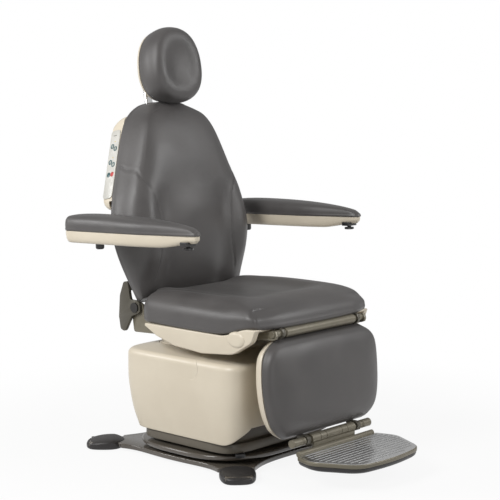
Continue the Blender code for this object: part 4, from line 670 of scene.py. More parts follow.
def buildPlinth(s):
    loop = superLoop(*s["tableHalf"], 3.0, 160, (0, s["tableY"]))
    table = toObject("turntableDisc", slabSkin([(p.x, p.y) for p in loop], s["tableLow"],
                                               s["tableLow"] + s["tableThick"]), baseFrame)
    roundEdges(table, 0.0048, 4, 50)
    settle(table, "turntable", looks["basePaint"], "base_paint", "turntable")

    def ring(inset, z, cutRear=None):
        loop = superLoop(s["half"][0] - inset, s["half"][1] - inset, 7, 200, (0, s["y"]))
        return [(p.x, p.y, z if cutRear is None or p.y < 0.080 else min(z, cutRear)) for p in loop]
    low, top = s["low"], s["low"] + s["height"]
    wallTop, rear = top + s["apron"], top + 0.003
    inner = s["inset"] + s["wall"]
    spacer = [(p.x, p.y, low - 0.0097) for p in superLoop(*s["spacer"], 4, 200)]
    spacerTop = [(p.x, p.y, low) for p in superLoop(*s["spacer"], 4, 200)]
    rings = [spacer, spacerTop, ring(0.004, low), ring(0.0012, low + 0.0012), ring(0, low + 0.004),
             ring(0, top - 0.003), ring(0.0012, top - 0.0008), ring(0.004, top), ring(s["inset"], top),
             ring(s["inset"], wallTop, rear), ring(inner, wallTop, rear), ring(inner, low + s["wall"])]
    pan = toObject("plinthTray", loftSkin(rings, True, True), baseFrame)
    settle(pan, "turntable", looks["plinth"], "plinth", "plinth_pan")


def buildCover(s):
    count, low, height = 320, s["low"], s["height"]
    nose = s["y"] - s["half"][1] + s["setBack"]

    def archLow(y):
        k = min(max(1 - (y - nose) / s["archDepth"], 0.0), 1.0)
        return low + s["archHeight"] * (1 - math.sqrt(max(1 - k * k, 0.0)))

    def ringAt(z):
        h = (z - low) / height
        tuck, lean = alongStations(s["tuck"], h), alongStations(s["leanBy"], h)
        return superLoop(s["half"][0] - tuck, s["half"][1] - tuck - lean * s["lean"] / 2, 9, count,
                         (0, s["y"] - lean * s["lean"] / 2))
    sideTop = low + 0.88 * height
    levels = [low + (sideTop - low) * k / 40 for k in range(41)]
    loops = [ringAt(z) for z in levels]
    rings = []
    for k, z in enumerate(levels):
        ring = []
        for i in range(count):
            floor = archLow(loops[k][i].y)
            want = floor + (sideTop - floor) * k / 40
            at = (want - low) / (sideTop - low) * 40
            j = min(int(at), 39)
            p = loops[j][i].lerp(loops[j + 1][i], at - j)
            ring.append((p.x, p.y, want))
        rings.append(ring)
    inset, rise = s["shoulder"]
    for k in range(1, 9):
        turn = math.pi / 2 * k / 8
        back = inset * (1 - math.cos(turn))
        loop = superLoop(s["half"][0] - back, s["half"][1] - back, 9, count, (0, s["y"]))
        rings.append([(p.x, p.y, sideTop + rise * math.sin(turn)) for p in loop])
    edge = rings[-1]
    mouth = [Vector((p.x, p.y, low + height)) for p in superLoop(*s["opening"], 8, count)]
    for k in range(1, 9):
        rings.append([Vector(a).lerp(b, k / 8) for a, b in zip(edge, mouth)])
    cover = toObject("baseCover", loftSkin(rings), baseFrame)
    thicken(cover, s["wall"])
    bake(cover)
    roundEdges(cover, 0.0009, 2, 50)
    settle(cover, "turntable", looks["ivoryCover"], "ivory", "base_cover", angle=40)


buildPlinth(plinthSettings)
buildCover(coverSettings)
print("plinth and cover done")

# lift shrouds
shroudSettings = {"middle": {"half": (0.166, 0.140), "low": 0.100, "top": 0.329, "body": "middle_stage"},
                  "upper": {"half": (0.1625, 0.1365), "low": 0.102, "top": 0.3832, "body": "seat"},
                  "wall": 0.003}


def buildShrouds(settings):
    for stage in ("middle", "upper"):
        s = settings[stage]
        x, y = s["half"]
        path = [(0, s["low"]), (0, s["top"] - 0.0018), (0.0005, s["top"] - 0.0005), (0.0018, s["top"]),
                (settings["wall"], s["top"]), (settings["wall"], s["low"]), (0, s["low"])]
        rings = [[(p.x, p.y, z) for p in superLoop(x - inset, y - inset, 8, 200)] for inset, z in path]
        work = loftSkin(rings)
        bmesh.ops.remove_doubles(work, verts=work.verts, dist=1e-6)
        sleeve = toObject(stage + "Sleeve", work, baseFrame)
        settle(sleeve, s["body"], looks["ivory"], "ivory", stage + "_shroud")


buildShrouds(shroudSettings)

# seat pan under the cushion
panSettings = {"half": 0.252, "skirt": 0.018, "rear": 0.092, "front": -0.338, "riseFrom": -0.205,
               "riseTo": -0.315, "step": 0.028, "depth": 0.056, "deck": 0.006, "top": 0.3993,
               "edge": 0.008, "boss": {"y": -0.268, "z": 0.394, "half": (0.034, 0.0235), "bulge": 0.0045}}


def deckRise(y, s):
    return s["step"] * smoothStep((s["riseFrom"] - y) / (s["riseFrom"] - s["riseTo"]))


def buildSeatPan(s):
    low, top = s["top"] - s["depth"], s["top"]
    waves = [s["rear"]] + [s["riseFrom"] + (s["riseTo"] - s["riseFrom"]) * k / 20 for k in range(21)]
    upper = [(y, top + deckRise(y, s)) for y in waves]
    nose, front, rear = top + s["step"], s["front"], s["rear"]
    keel = roundedLine([(front, nose, 0), (front + 0.014, nose - 0.036, 0.030),
                        (front + 0.082, low + 0.007, 0.080), (front + 0.200, low - 0.004, 0.060),
                        (rear - 0.120, low + 0.004, 0.060), (rear - 0.048, low + 0.024, 0.040),
                        (rear, top - 0.008, 0)], 12)
    outline = upper + [(p.x, p.y) for p in keel]
    shell = toObject("seatPan", slabSkin(outline, -s["half"], s["half"], "side"))
    roundEdges(shell, s["edge"], 5, 50)
    bake(shell)
    inner = s["half"] - s["skirt"]
    under = [(y, z - s["deck"]) for y, z in upper]
    under[0] = (rear + 0.05, under[0][1])
    channel = under + [(front - 0.05, under[-1][1]), (front - 0.05, low - 0.05),
                       (rear + 0.05, low - 0.05)]
    cutAway(shell, toObject("channel", slabSkin(channel, -inner, inner, "side")))
    roundEdges(shell, 0.0012, 2, 55)
    bake(shell)
    shell.data.transform(baseFrame)
    settle(shell, "seat", looks["ivory"], "ivory", "seat_shell")
    boss = s["boss"]
    for place, sign in sideSign.items():
        rings = []
        for k in range(9):
            turn = math.pi / 2 * k / 8
            share, lift = math.cos(turn), math.sin(turn)
            x = sign * (s["half"] - 0.004 + (boss["bulge"] + 0.004) * lift)
            rings.append([(x, boss["y"] + boss["half"][0] * (0.55 + 0.45 * share) * math.cos(a),
                           boss["z"] + boss["half"][1] * (0.55 + 0.45 * share) * math.sin(a))
                          for a in (math.tau * i / 48 for i in range(48))])
        cap = toObject("panBoss_" + place, loftSkin(rings, True, True), baseFrame)
        settle(cap, "seat", looks["ivory"], "ivory")


buildSeatPan(panSettings)
print("shrouds and seat pan done")


# soft goods: a cage like the solid, swollen by a cloth step, then seams and stitches
softSettings = {"levels": 2, "finer": 1, "frames": 20, "pressure": 4.0, "stiffness": 20, "shear": 8,
                "bending": 2.0, "mass": 0.4, "own": 0.4}


def swell(piece, s, held):
    count = len(piece.data.vertices)
    before = [v.co.copy() for v in piece.data.vertices]
    normals = [v.normal.copy() for v in piece.data.vertices]
    pairs = [tuple(e.vertices) for e in piece.data.edges]
    group = piece.vertex_groups.new(name="held")
    for v in piece.data.vertices:
        weight = held(v.co)
        if weight > 0:
            group.add([v.index], weight, "REPLACE")
    cloth = piece.modifiers.new("swell", "CLOTH")
    c = cloth.settings
    c.quality = 5
    c.mass = softSettings["mass"]
    c.tension_stiffness = c.compression_stiffness = softSettings["stiffness"]
    c.shear_stiffness = softSettings["shear"]
    c.bending_stiffness = softSettings["bending"]
    c.use_pressure = True
    c.uniform_pressure_force = softSettings["pressure"]
    c.vertex_group_mass = "held"
    c.effector_weights.gravity = 0
    cloth.collision_settings.use_collision = False
    cloth.point_cache.frame_start = 1
    cloth.point_cache.frame_end = softSettings["frames"]
    for f in range(1, softSettings["frames"] + 1):
        bpy.context.scene.frame_set(f)
    bake(piece)
    bpy.context.scene.frame_set(1)
    cap = s["cap"]
    rise = [cap * math.tanh((v.co - old).dot(normal) / cap)
            for v, old, normal in zip(piece.data.vertices, before, normals)]
    for _ in range(s["even"]):  # the foam under the cover evens the swelling out
        total, shared = [0.0] * count, [0] * count
        for a, b in pairs:
            total[a] += rise[b]
            total[b] += rise[a]
            shared[a] += 1
            shared[b] += 1
        own = softSettings["own"]
        rise = [own * r + (1 - own) * t / n for r, t, n in zip(rise, total, shared)]
    for v, old, normal, r in zip(piece.data.vertices, before, normals, rise):
        v.co = old + normal * r
    piece.vertex_groups.clear()
    print("  swelled", piece.name, count, "points, up to", round(max(rise) * 1000, 1), "mm")


def seamTrail(piece, line, gap=0.004):  # an even, smooth run of points on the skin
    tree = BVHTree.FromPolygons([v.co for v in piece.data.vertices],
                                [list(p.vertices) for p in piece.data.polygons])
    run = [Vector(p) for p in line]
    for _ in range(14):
        run = [tree.find_nearest(p)[0] for p in run]
        run = [run[0]] + [(a + b * 2 + c) / 4 for a, b, c in zip(run, run[1:], run[2:])] + [run[-1]]
    trail, left = [], 0.0
    for a, b in zip(run, run[1:]):
        length = (b - a).length
        while left < length:
            trail.append(a.lerp(b, left / length))
            left += gap
        left -= length
    return [tree.find_nearest(p)[:2] for p in trail]


def smoothLine(points, steps=8):
    pts = [Vector(p) for p in points]
    made = []
    for i in range(len(pts) - 1):
        p0, p1, p2, p3 = pts[max(i - 1, 0)], pts[i], pts[i + 1], pts[min(i + 2, len(pts) - 1)]
        for k in range(steps):
            t = k / steps
            made.append(0.5 * (2 * p1 + (p2 - p0) * t + (2 * p0 - 5 * p1 + 4 * p2 - p3) * t * t
                               + (3 * p1 - p0 - 3 * p2 + p3) * t ** 3))
    return made + [pts[-1]]


def pressSeams(piece, seams, depth, width):  # draw the skin in along each seam
    for line in seams:
        trail = seamTrail(piece, line, 0.002)
        near = KDTree(len(trail))
        for i, (at, _) in enumerate(trail):
            near.insert(at, i)
        near.balance()

        def press(co):
            _, i, far = near.find(co)
            k = far / width
            fade = smoothStep(min(i, len(trail) - 1 - i) * 0.002 / 0.016)
            if k >= 4:
                return 0.0
            return fade * depth * (0.30 * math.exp(-((k - 2.0) / 0.9) ** 2) - math.exp(-k * k))

        puff(piece, press)


# the folded edge that shows in a seam, coloured darker than the vinyl as painted shade in the seam crease
def seamBead(name, piece, lines, body, radius=0.0009, sink=0.0004):
    work = bmesh.new()
    for line in lines:
        trail = seamTrail(piece, line, 0.004)
        rows = []
        for i, (at, normal) in enumerate(trail):
            ahead = (trail[min(i + 1, len(trail) - 1)][0] - trail[max(i - 1, 0)][0]).normalized()
            across = ahead.cross(normal).normalized()
            taper = min(1.0, 0.3 + 0.2 * min(i, len(trail) - 1 - i))
            turns = [across * math.cos(math.tau * k / 6) + normal * math.sin(math.tau * k / 6)
                     for k in range(6)]
            rows.append([work.verts.new(at - normal * sink + turn * radius * taper) for turn in turns])
        for a, b in zip(rows, rows[1:]):
            for k in range(6):
                work.faces.new((a[k], a[(k + 1) % 6], b[(k + 1) % 6], b[k]))
        work.faces.new(list(reversed(rows[0])))
        work.faces.new(rows[-1])
    bead = toObject(name, work)
    return settle(bead, body, looks["vinylSeamPaintedShade"], "vinyl", angle=80)


def stitchRow(name, piece, lines, body, offset, length=0.0034, every=0.0056, radius=0.00042):
    work = bmesh.new()
    for line in lines:
        trail = seamTrail(piece, line, every)
        for i in range(1, len(trail) - 1):
            at, normal = trail[i]
            ahead = (trail[i + 1][0] - trail[i - 1][0]).normalized()
            across = ahead.cross(normal).normalized()
            for side in (offset, -offset):
                rows = []
                turns = [across * math.cos(math.tau * j / 5) + normal * math.sin(math.tau * j / 5)
                         for j in range(5)]
                for k, t in enumerate((-0.5, -0.25, 0.25, 0.5)):
                    thick = radius * (0.55 if k in (0, 3) else 1.0)
                    lift = -0.0003 if k in (0, 3) else 0.0003
                    mid = at + across * side + ahead * (length * t) + normal * lift
                    rows.append([work.verts.new(mid + turn * thick) for turn in turns])
                for a, b in zip(rows, rows[1:]):
                    for j in range(5):
                        work.faces.new((a[j], a[(j + 1) % 5], b[(j + 1) % 5], b[j]))
                work.faces.new(list(reversed(rows[0])))
                work.faces.new(rows[-1])
    row = toObject(name, work)
    return settle(row, body, looks["thread"], "vinyl", angle=80)


def spread(t):  # cells drawn closer together toward the ends
    return math.copysign(1 - (1 - abs(t)) ** 1.5, t)


def layerAt(layers, t):
    return layers[round((t + 1) / 2 * (len(layers) - 1))]


def puff(piece, amount):  # move every point along its normal
    normals = [v.normal.copy() for v in piece.data.vertices]
    for v, normal in zip(piece.data.vertices, normals):
        v.co += normal * amount(v.co)


def makeCushion(name, s, form, place, body, node, held, seams=(), shape=None):
    piece = toObject(name, boxSkin(s["cells"], form))
    soft = piece.modifiers.new("round", "SUBSURF")
    soft.levels = softSettings["levels"]
    bake(piece)
    puff(piece, lambda co: -s["shrink"] * (1 - held(co)))
    piece.data.transform(place)
    back = place.inverted()
    swell(piece, s, lambda co: held(back @ co))
    soft = piece.modifiers.new("round", "SUBSURF")
    soft.levels = softSettings["finer"]
    bake(piece)
    if shape is not None:
        turn = place.to_3x3()
        for v in piece.data.vertices:
            v.co += turn @ shape(back @ v.co)
    placed = [[place @ Vector(p) for p in line] for line in seams]
    if placed:
        pressSeams(piece, placed, s["seamDepth"], s["seamWidth"])
    settle(piece, body, looks["vinyl"], "vinyl", node, angle=180)
    if placed:
        seamBead(name + "Seam", piece, placed, body, s["seamBead"])
    if placed and s["stitchOffset"]:
        stitchRow(name + "Stitch", piece, placed, body, s["stitchOffset"])
    return piece


# seat cushion
seatSettings = {"cells": (14, 13, 4), "shrink": 0.003, "cap": 0.008, "even": 40, "fill": 0.8,
                "seamDepth": 0.0010, "seamWidth": 0.0024, "seamBead": 0.0004, "stitchOffset": 0.0,
                "height": 0.088, "half": 0.270, "rear": 0.136, "front": -0.356, "base": 0.3998,
                "layers": ((0.0, 0.938, 0.006), (0.13, 0.972, 0.000), (0.46, 1.000, -0.003),
                           (0.80, 0.974, 0.004), (1.0, 0.890, 0.022))}


def seatForm(u, v, w):
    s = seatSettings
    share, wide, setBack = layerAt(s["layers"], w)
    u, v = spread(u), spread(v)
    t = (v + 1) / 2
    y = s["front"] + (s["rear"] - s["front"]) * t
    half = s["half"] * (0.95 + 0.05 * math.sin(math.pi * min(t * 0.9 + 0.10, 1))) * wide
    rise = deckRise(y, panSettings)
    floor = s["base"] + rise - 0.0045 * smoothStep((-0.335 - y) / 0.010)
    crown = 0.004 * (1 - u * u) * math.sin(math.pi * t)
    bolster = 0.012 * math.exp(-((abs(u) - 0.80) / 0.18) ** 2) * smoothStep(t * 3)
    fall = 0.004 * (1 - smoothStep(t * 5)) + 0.003 * abs(u) ** 4
    roof = s["base"] + s["height"] + crown + bolster - fall
    end = smoothStep((abs(v) - 0.80) / 0.20)
    y += end * (setBack if v < 0 else -setBack * 0.5) - 0.010 * (1 - u * u) * (1 - smoothStep(t * 6))
    y -= math.copysign(end * 0.016 * smoothStep((abs(u) - 0.72) / 0.28), v)
    half *= 1 - 0.055 * smoothStep((abs(v) - 0.84) / 0.16)
    return Vector((u * half, y, floor + (roof - floor) * share))


def seatShape(p):  # panel dipped between the side bolsters and the front roll
    onTop = smoothStep((p.z - 0.462) / 0.016)
    across = math.exp(-(p.x / 0.165) ** 6)
    along = smoothStep((p.y + 0.255) / 0.080) * (1 - 0.6 * smoothStep((p.y - 0.02) / 0.10))
    dip = -0.0100 * across * along
    roll = 0.0050 * math.exp(-((p.y + 0.285) / 0.045) ** 2)
    crease = -0.0030 * math.exp(-((abs(p.x) - 0.192) / 0.010) ** 2) * smoothStep((p.y + 0.215) / 0.06)
    return Vector((0, 0, onTop * (dip + roll + crease)))


def seatHeld(p):
    return 1 - smoothStep((p.z - seatSettings["base"] - deckRise(p.y, panSettings) - 0.006) / 0.010)


seatSeams = []
for sign in (-1, 1):
    seatSeams.append(smoothLine([(sign * 0.246, -0.326, 0.466), (sign * 0.247, -0.329, 0.455),
                                 (sign * 0.247, -0.331, 0.444), (sign * 0.244, -0.332, 0.432)]))
makeCushion("seatCushion", seatSettings, seatForm, baseFrame, "seat", "seat_cushion", seatHeld, seatSeams,
            seatShape)
print("seat cushion done")

# back cushion
backSettings = {"cells": (14, 4, 16), "shrink": 0.003, "cap": 0.008, "even": 40, "fill": 0.75,
                "seamDepth": 0.0016, "seamWidth": 0.0036, "seamBead": 0.0007, "stitchOffset": 0.0040,
                "low": 0.010, "top": 0.613, "rear": 0.0, "depth": 0.095, "dome": 0.009,
                "fuller": ((0.0, 0.013), (0.30, 0.013), (0.50, 0.012), (0.66, 0.022), (0.82, 0.019),
                           (0.92, 0.013), (1.0, 0.010)),
                "layers": ((1.0, 0.890, 0.013), (0.86, 0.962, 0.005), (0.50, 1.000, 0.0),
                           (0.14, 0.995, 0.0), (0.0, 0.970, 0.0)),
                "stations": ((0.0, 0.230), (0.12, 0.251), (0.22, 0.262), (0.32, 0.268), (0.42, 0.263),
                             (0.52, 0.247), (0.65, 0.213), (0.82, 0.172), (0.92, 0.141), (0.97, 0.110),
                             (1.0, 0.068)),
                "seam": ((0.2040, 0.3970), (0.1945, 0.3790), (0.1810, 0.3510), (0.1670, 0.3100),
                         (0.1590, 0.2650), (0.1545, 0.2100), (0.1545, 0.1500), (0.1640, 0.0950),
                         (0.1740, 0.0560))}


def backForm(u, v, w):
    s = backSettings
    share, wide, fall = layerAt(s["layers"], v)
    u, w = spread(u), spread(w)
    t = (w + 1) / 2
    z = s["low"] + (s["top"] - s["low"]) * t
    draw = 0.030 * (1 - smoothStep(t / 0.34)) * (1 - share)
    half = (alongStations(s["stations"], t) - draw) * wide
    crown = 0.004 * (1 - u * u) * math.sin(math.pi * t)
    bolster = 0.007 * math.exp(-((abs(u) - 0.80) / 0.18) ** 2) * (1 - smoothStep((t - 0.5) / 0.18))
    heel = 0.050 * (1 - smoothStep((t + 0.02) / 0.42))
    edge = 0.006 * abs(u) ** 6 + 0.010 * smoothStep((t - 0.86) / 0.14)
    depth = s["depth"] - 0.003 + alongStations(s["fuller"], t) + crown + bolster - heel - edge
    end = smoothStep((abs(w) - 0.86) / 0.14)
    z -= s["dome"] * u * u * smoothStep((t - 0.80) / 0.20)
    return Vector((u * half, s["rear"] - share * depth, z - math.copysign(end * fall, w)))


def backShape(p):  # lumbar roll and fuller side bolsters
    facing = smoothStep((-0.030 - p.y) / 0.020)
    lumbar = -0.010 * math.exp(-(p.x / 0.085) ** 2 - ((p.z - 0.275) / 0.060) ** 2)
    bolster = -0.008 * math.exp(-((abs(p.x) - 0.200) / 0.034) ** 2) * smoothStep((0.40 - p.z) / 0.09)
    bolster *= smoothStep((p.z - 0.06) / 0.08)
    valley = 0.009 * math.exp(-((abs(p.x) - 0.125) / 0.040) ** 2) * smoothStep((0.36 - p.z) / 0.10)
    return Vector((0, facing * (lumbar + bolster + valley), 0))


def backHeld(p):
    return 1 - smoothStep((backSettings["rear"] - p.y - 0.004) / 0.010)


backSeams = []
for sign in (-1, 1):
    line = [(sign * 0.236, y, z) for y, z in ((-0.010, 0.434), (-0.034, 0.427), (-0.058, 0.415))]
    line += [(sign * x, -0.088, z) for x, z in backSettings["seam"]]
    backSeams.append(smoothLine(line))
makeCushion("backCushion", backSettings, backForm, backFrame, "back", "back_cushion", backHeld, backSeams,
            backShape)
print("back cushion done")

# headrest cushion, a round pillow with a dish inside its rim
headSettings = {"cells": (12, 6, 12), "shrink": 0.002, "cap": 0.005, "even": 24, "fill": 0.8,
                "half": (0.1065, 0.1185), "rear": -0.0300, "depth": 0.088, "power": 2.3,
                "frontShare": 0.62,
                "reach": ((0.0, 0.0), (0.15, 0.20), (0.30, 0.42), (0.42, 0.585), (0.50, 0.69),
                          (0.56, 0.765), (0.62, 0.835), (0.70, 0.935), (0.80, 0.995), (0.90, 0.975),
                          (1.0, 0.915)),
                "fall": ((0.0, 0.0165), (0.15, 0.0150), (0.30, 0.0105), (0.42, 0.0042), (0.50, 0.0008),
                         (0.56, 0.0), (0.62, 0.0022), (0.70, 0.014), (0.80, 0.038), (0.90, 0.065),
                         (1.0, 0.088))}


def headForm(u, v, w):
    s = headSettings
    largest = max(abs(u), abs(w))
    far = math.hypot(u, w)
    if far == 0:
        return Vector((0, s["rear"] - (s["depth"] - s["fall"][0][1] if v < 0 else 0), 0))
    ways = (u / far, w / far)
    round2 = sum(abs(c) ** s["power"] for c in ways) ** (-1 / s["power"])
    if v > 0.99:  # the flat rear
        reach, fall = largest * s["reach"][-1][1], s["depth"]
    else:
        share = s["frontShare"]
        q = share * largest if v < -0.99 else share + (1 - share) * (v + 1) / 2
        reach, fall = alongStations(s["reach"], q), alongStations(s["fall"], q)
    x, z = (c * round2 * reach for c in ways)
    return Vector((x * s["half"][0] * (1 - 0.08 * z), s["rear"] - s["depth"] + fall, z * s["half"][1]))


def headHeld(p):
    return 1 - smoothStep((headSettings["rear"] - p.y - 0.003) / 0.010)


makeCushion("headrestCushion", headSettings, headForm, headFrame, "headrest", "headrest_cushion",
            headHeld)
print("headrest cushion done")

# arm pads
armSettings = {"cells": (6, 20, 4), "shrink": 0.0015, "cap": 0.004, "even": 24, "fill": 0.85,
               "tail": 0.034, "padLength": 0.512, "halfWidth": 0.048, "base": 0.0120,
               "thick": ((0.0, 0.013), (0.05, 0.021), (0.16, 0.030), (0.365, 0.039), (0.57, 0.044),
                         (0.80, 0.046), (1.0, 0.043)),
               "layers": ((0.0, 0.965), (0.16, 1.005), (0.45, 1.015), (0.80, 0.955), (1.0, 0.760))}


def armHalf(t):
    return armSettings["halfWidth"] * (1 - smoothStep((0.42 - t) / 0.42) * 0.62)


def armForm(u, v, w):
    s = armSettings
    share, wide = layerAt(s["layers"], w)
    v = spread(v)
    t = (v + 1) / 2
    y = s["tail"] - s["padLength"] * (1 - t)
    end = smoothStep((abs(v) - 0.93) / 0.07)
    half = armHalf(t) * wide * (1 - 0.30 * end)
    y -= math.copysign(end * (0.006 * u * u + (0.010 if share > 0.9 else 0.0)), v)
    thick = alongStations(s["thick"], t) + 0.002 * (1 - u * u)
    return Vector((u * half, y, s["base"] + share * thick))


def armHeld(p):
    return 1 - smoothStep((p.z - armSettings["base"] - 0.003) / 0.006)


for side, place in armFrames.items():
    makeCushion("armPad_" + side, armSettings, armForm, place, "arm_" + side, "arm_pad_" + side, armHeld)
print("arm pads done")

# leg pad
legSettings = {"cells": (14, 4, 9), "shrink": 0.002, "cap": 0.006, "even": 40, "fill": 0.75,
               "rear": 0.0098, "depth": 0.046, "top": -0.0148, "low": -0.2945,
               "layers": ((1.0, 0.945, 0.012), (0.80, 0.982, 0.004), (0.45, 1.000, 0.0),
                          (0.12, 0.998, 0.0), (0.0, 0.985, 0.0)),
               "stations": ((0.0, 0.180), (0.05, 0.203), (0.12, 0.222), (0.30, 0.241), (0.55, 0.249),
                            (0.80, 0.243), (0.90, 0.230), (0.96, 0.208), (1.0, 0.178))}


def legForm(u, v, w):
    s = legSettings
    share, wide, fall = layerAt(s["layers"], v)
    u, w = spread(u), spread(w)
    t = (w + 1) / 2
    z = s["low"] + (s["top"] - s["low"]) * t
    half = alongStations(s["stations"], t) * wide
    crown = 0.005 * (1 - u * u) * (1 - w * w)
    edge = 0.006 * abs(u) ** 6 + 0.006 * abs(w) ** 6
    end = smoothStep((abs(w) - 0.80) / 0.20)
    return Vector((u * half, s["rear"] - share * (s["depth"] - 0.004 + crown - edge),
                   z - math.copysign(end * fall, w)))


def legHeld(p):
    return 1 - smoothStep((legSettings["rear"] - p.y - 0.003) / 0.008)


makeCushion("legPad", legSettings, legForm, legFrame, "leg", "leg_pad", legHeld)
print("leg pad done")

# arm shells, knobs and release buttons
armShellSettings = {"rim": 0.0117, "deep": 0.034, "wall": 0.004, "count": 120, "knobY": -0.436,
                    "knobRise": 0.0126, "clampHalf": (0.0205, 0.0150), "clampSpan": (-0.0060, 0.0052),
                    "knobSquash": 0.72, "releaseY": {"right": -0.062, "left": -0.032}, "releaseX": 0.018,
                    "releaseRadius": 0.0125}


def armLift(t):
    return 0.014 * (1 - smoothStep(t / 0.24))


def armRing(inset, height, rise, count):
    s = armSettings
    sides = []
    steps = count // 2
    for k in range(steps):
        t = 0.5 - 0.5 * math.cos(math.pi * k / (steps - 1))
        y = s["tail"] - s["padLength"] + inset + (s["padLength"] - 2 * inset) * t
        end = min(min(t, 1 - t) / 0.05, 1)
        bend = 0.50 + 0.50 * math.sqrt(1 - (1 - end) ** 2)
        sides.append((max(armHalf(t) - inset, 0.004) * bend, y, height + rise * armLift(t)))
    return sides + [(-x, y, z) for x, y, z in reversed(sides)]


def buildArm(side, s):
    place, body, sign = armFrames[side], "arm_" + side, sideSign[side]
    rim, low = s["rim"], s["rim"] - s["deep"]
    steps = [(0.005, rim, 0.0), (0.005, rim - s["deep"] * 0.18, 0.12),
             (0.0052, rim - s["deep"] * 0.35, 0.3), (0.0060, rim - s["deep"] * 0.60, 0.62),
             (0.0075, low + 0.0080, 0.88), (0.009, low + 0.0048, 1.0), (0.0108, low + 0.0020, 1.0),
             (0.0126, low + 0.0006, 1.0), (0.0145, low, 1.0)]
    rings = [armRing(inset, z, rise, s["count"]) for inset, z, rise in steps]
    shell = toObject("armShell_" + side, loftSkin(rings, False, True), place)
    thicken(shell, s["wall"])
    settle(shell, body, looks["ivory"], "ivory", "arm_shell_" + side, angle=45)
    x, y = -sign * s["releaseX"], s["releaseY"][side]
    r = s["releaseRadius"]
    profile = [(0.001, 0.010), (r, 0.010), (r, -0.0155), (r - 0.0006, -0.0180), (r - 0.0022, -0.0202),
               (r - 0.0045, -0.021), (0.001, -0.0207)]
    button = toObject("armRelease_" + side, turnSkin(profile), place @ Matrix.Translation((x, y, low)))
    settle(button, "release_" + side, looks["black"], "black", "arm_release_" + side)
    lift = low + s["knobRise"]
    clamp = toObject("armClamp_" + side, slabSkin(roundedBox(*s["clampHalf"], 0.006, 6), *s["clampSpan"]),
                     place @ Matrix.Translation((0, s["knobY"], lift)))
    roundEdges(clamp, 0.0012, 2, 50)
    settle(clamp, body, looks["black"], "black")
    profile = [(0.001, 0.008), (0.0062, 0.008), (0.0062, -0.0012), (0.0134, -0.0012), (0.014, -0.0018),
               (0.014, -0.0044), (0.0134, -0.005), (0.0070, -0.0068), (0.0060, -0.009), (0.0060, -0.0125),
               (0.0075, -0.0142), (0.0140, -0.0150), (0.015, -0.0158), (0.015, -0.0222),
               (0.0142, -0.0231), (0.0100, -0.0243), (0.001, -0.0250)]
    knob = turnSkin(profile)
    for vert in knob.verts:  # finger flats round the wide end
        if vert.co.z < -0.0149:
            turn = math.atan2(vert.co.y, vert.co.x)
            reach = math.hypot(vert.co.x, vert.co.y)
            squeeze = 1 - 0.07 * (0.5 + 0.5 * math.cos(turn * 6)) * smoothStep((reach - 0.010) / 0.004)
            vert.co.x, vert.co.y = vert.co.x * squeeze, vert.co.y * squeeze
        vert.co.z *= s["knobSquash"]
    piece = toObject("armKnob_" + side, knob, place @ Matrix.Translation((0, s["knobY"], lift)))
    settle(piece, "knob_" + side, looks["black"], "black", "arm_knob_" + side)


for side in ("right", "left"):
    buildArm(side, armShellSettings)
print("arms done")

# rear housing and control panel
housingSettings = {"low": 0.292, "top": 0.572, "halfLow": 0.240, "halfTop": 0.130, "near": 0.0003,
                   "depth": 0.052, "wall": 0.004, "sill": 0.2345, "boardRear": 0.0206, "topCurl": 0.032,
                   "lowCurl": 0.022, "slotHalf": 0.0174, "slotDepth": 0.0308,
                   "screws": ((-0.180, 0.335), (0.180, 0.335), (-0.105, 0.505), (0.105, 0.505)),
                   "panel": {"length": 0.218, "width": 0.040, "thick": 0.0026, "lift": 0.0003,
                             "shift": 0.002}}
buttonSettings = {"radius": 0.0058, "height": 0.0019, "travel": 0.0008, "gap": 0.0004,
                  "places": {"raise": (-0.007, 0.058), "lower": (0.007, 0.049),
                             "recline": (-0.007, 0.007), "sit_up": (0.007, -0.002),
                             "return": (-0.0075, -0.033), "stop": (0.0075, -0.033)},
                  "points": {"raise": 1, "lower": -1, "recline": 1, "sit_up": -1},
                  "dashes": {"upper": (0.002, 0.072, 0.006), "lower": (0.002, 0.021, 0.006),
                             "top": (-0.001, 0.092, 0.014)}}


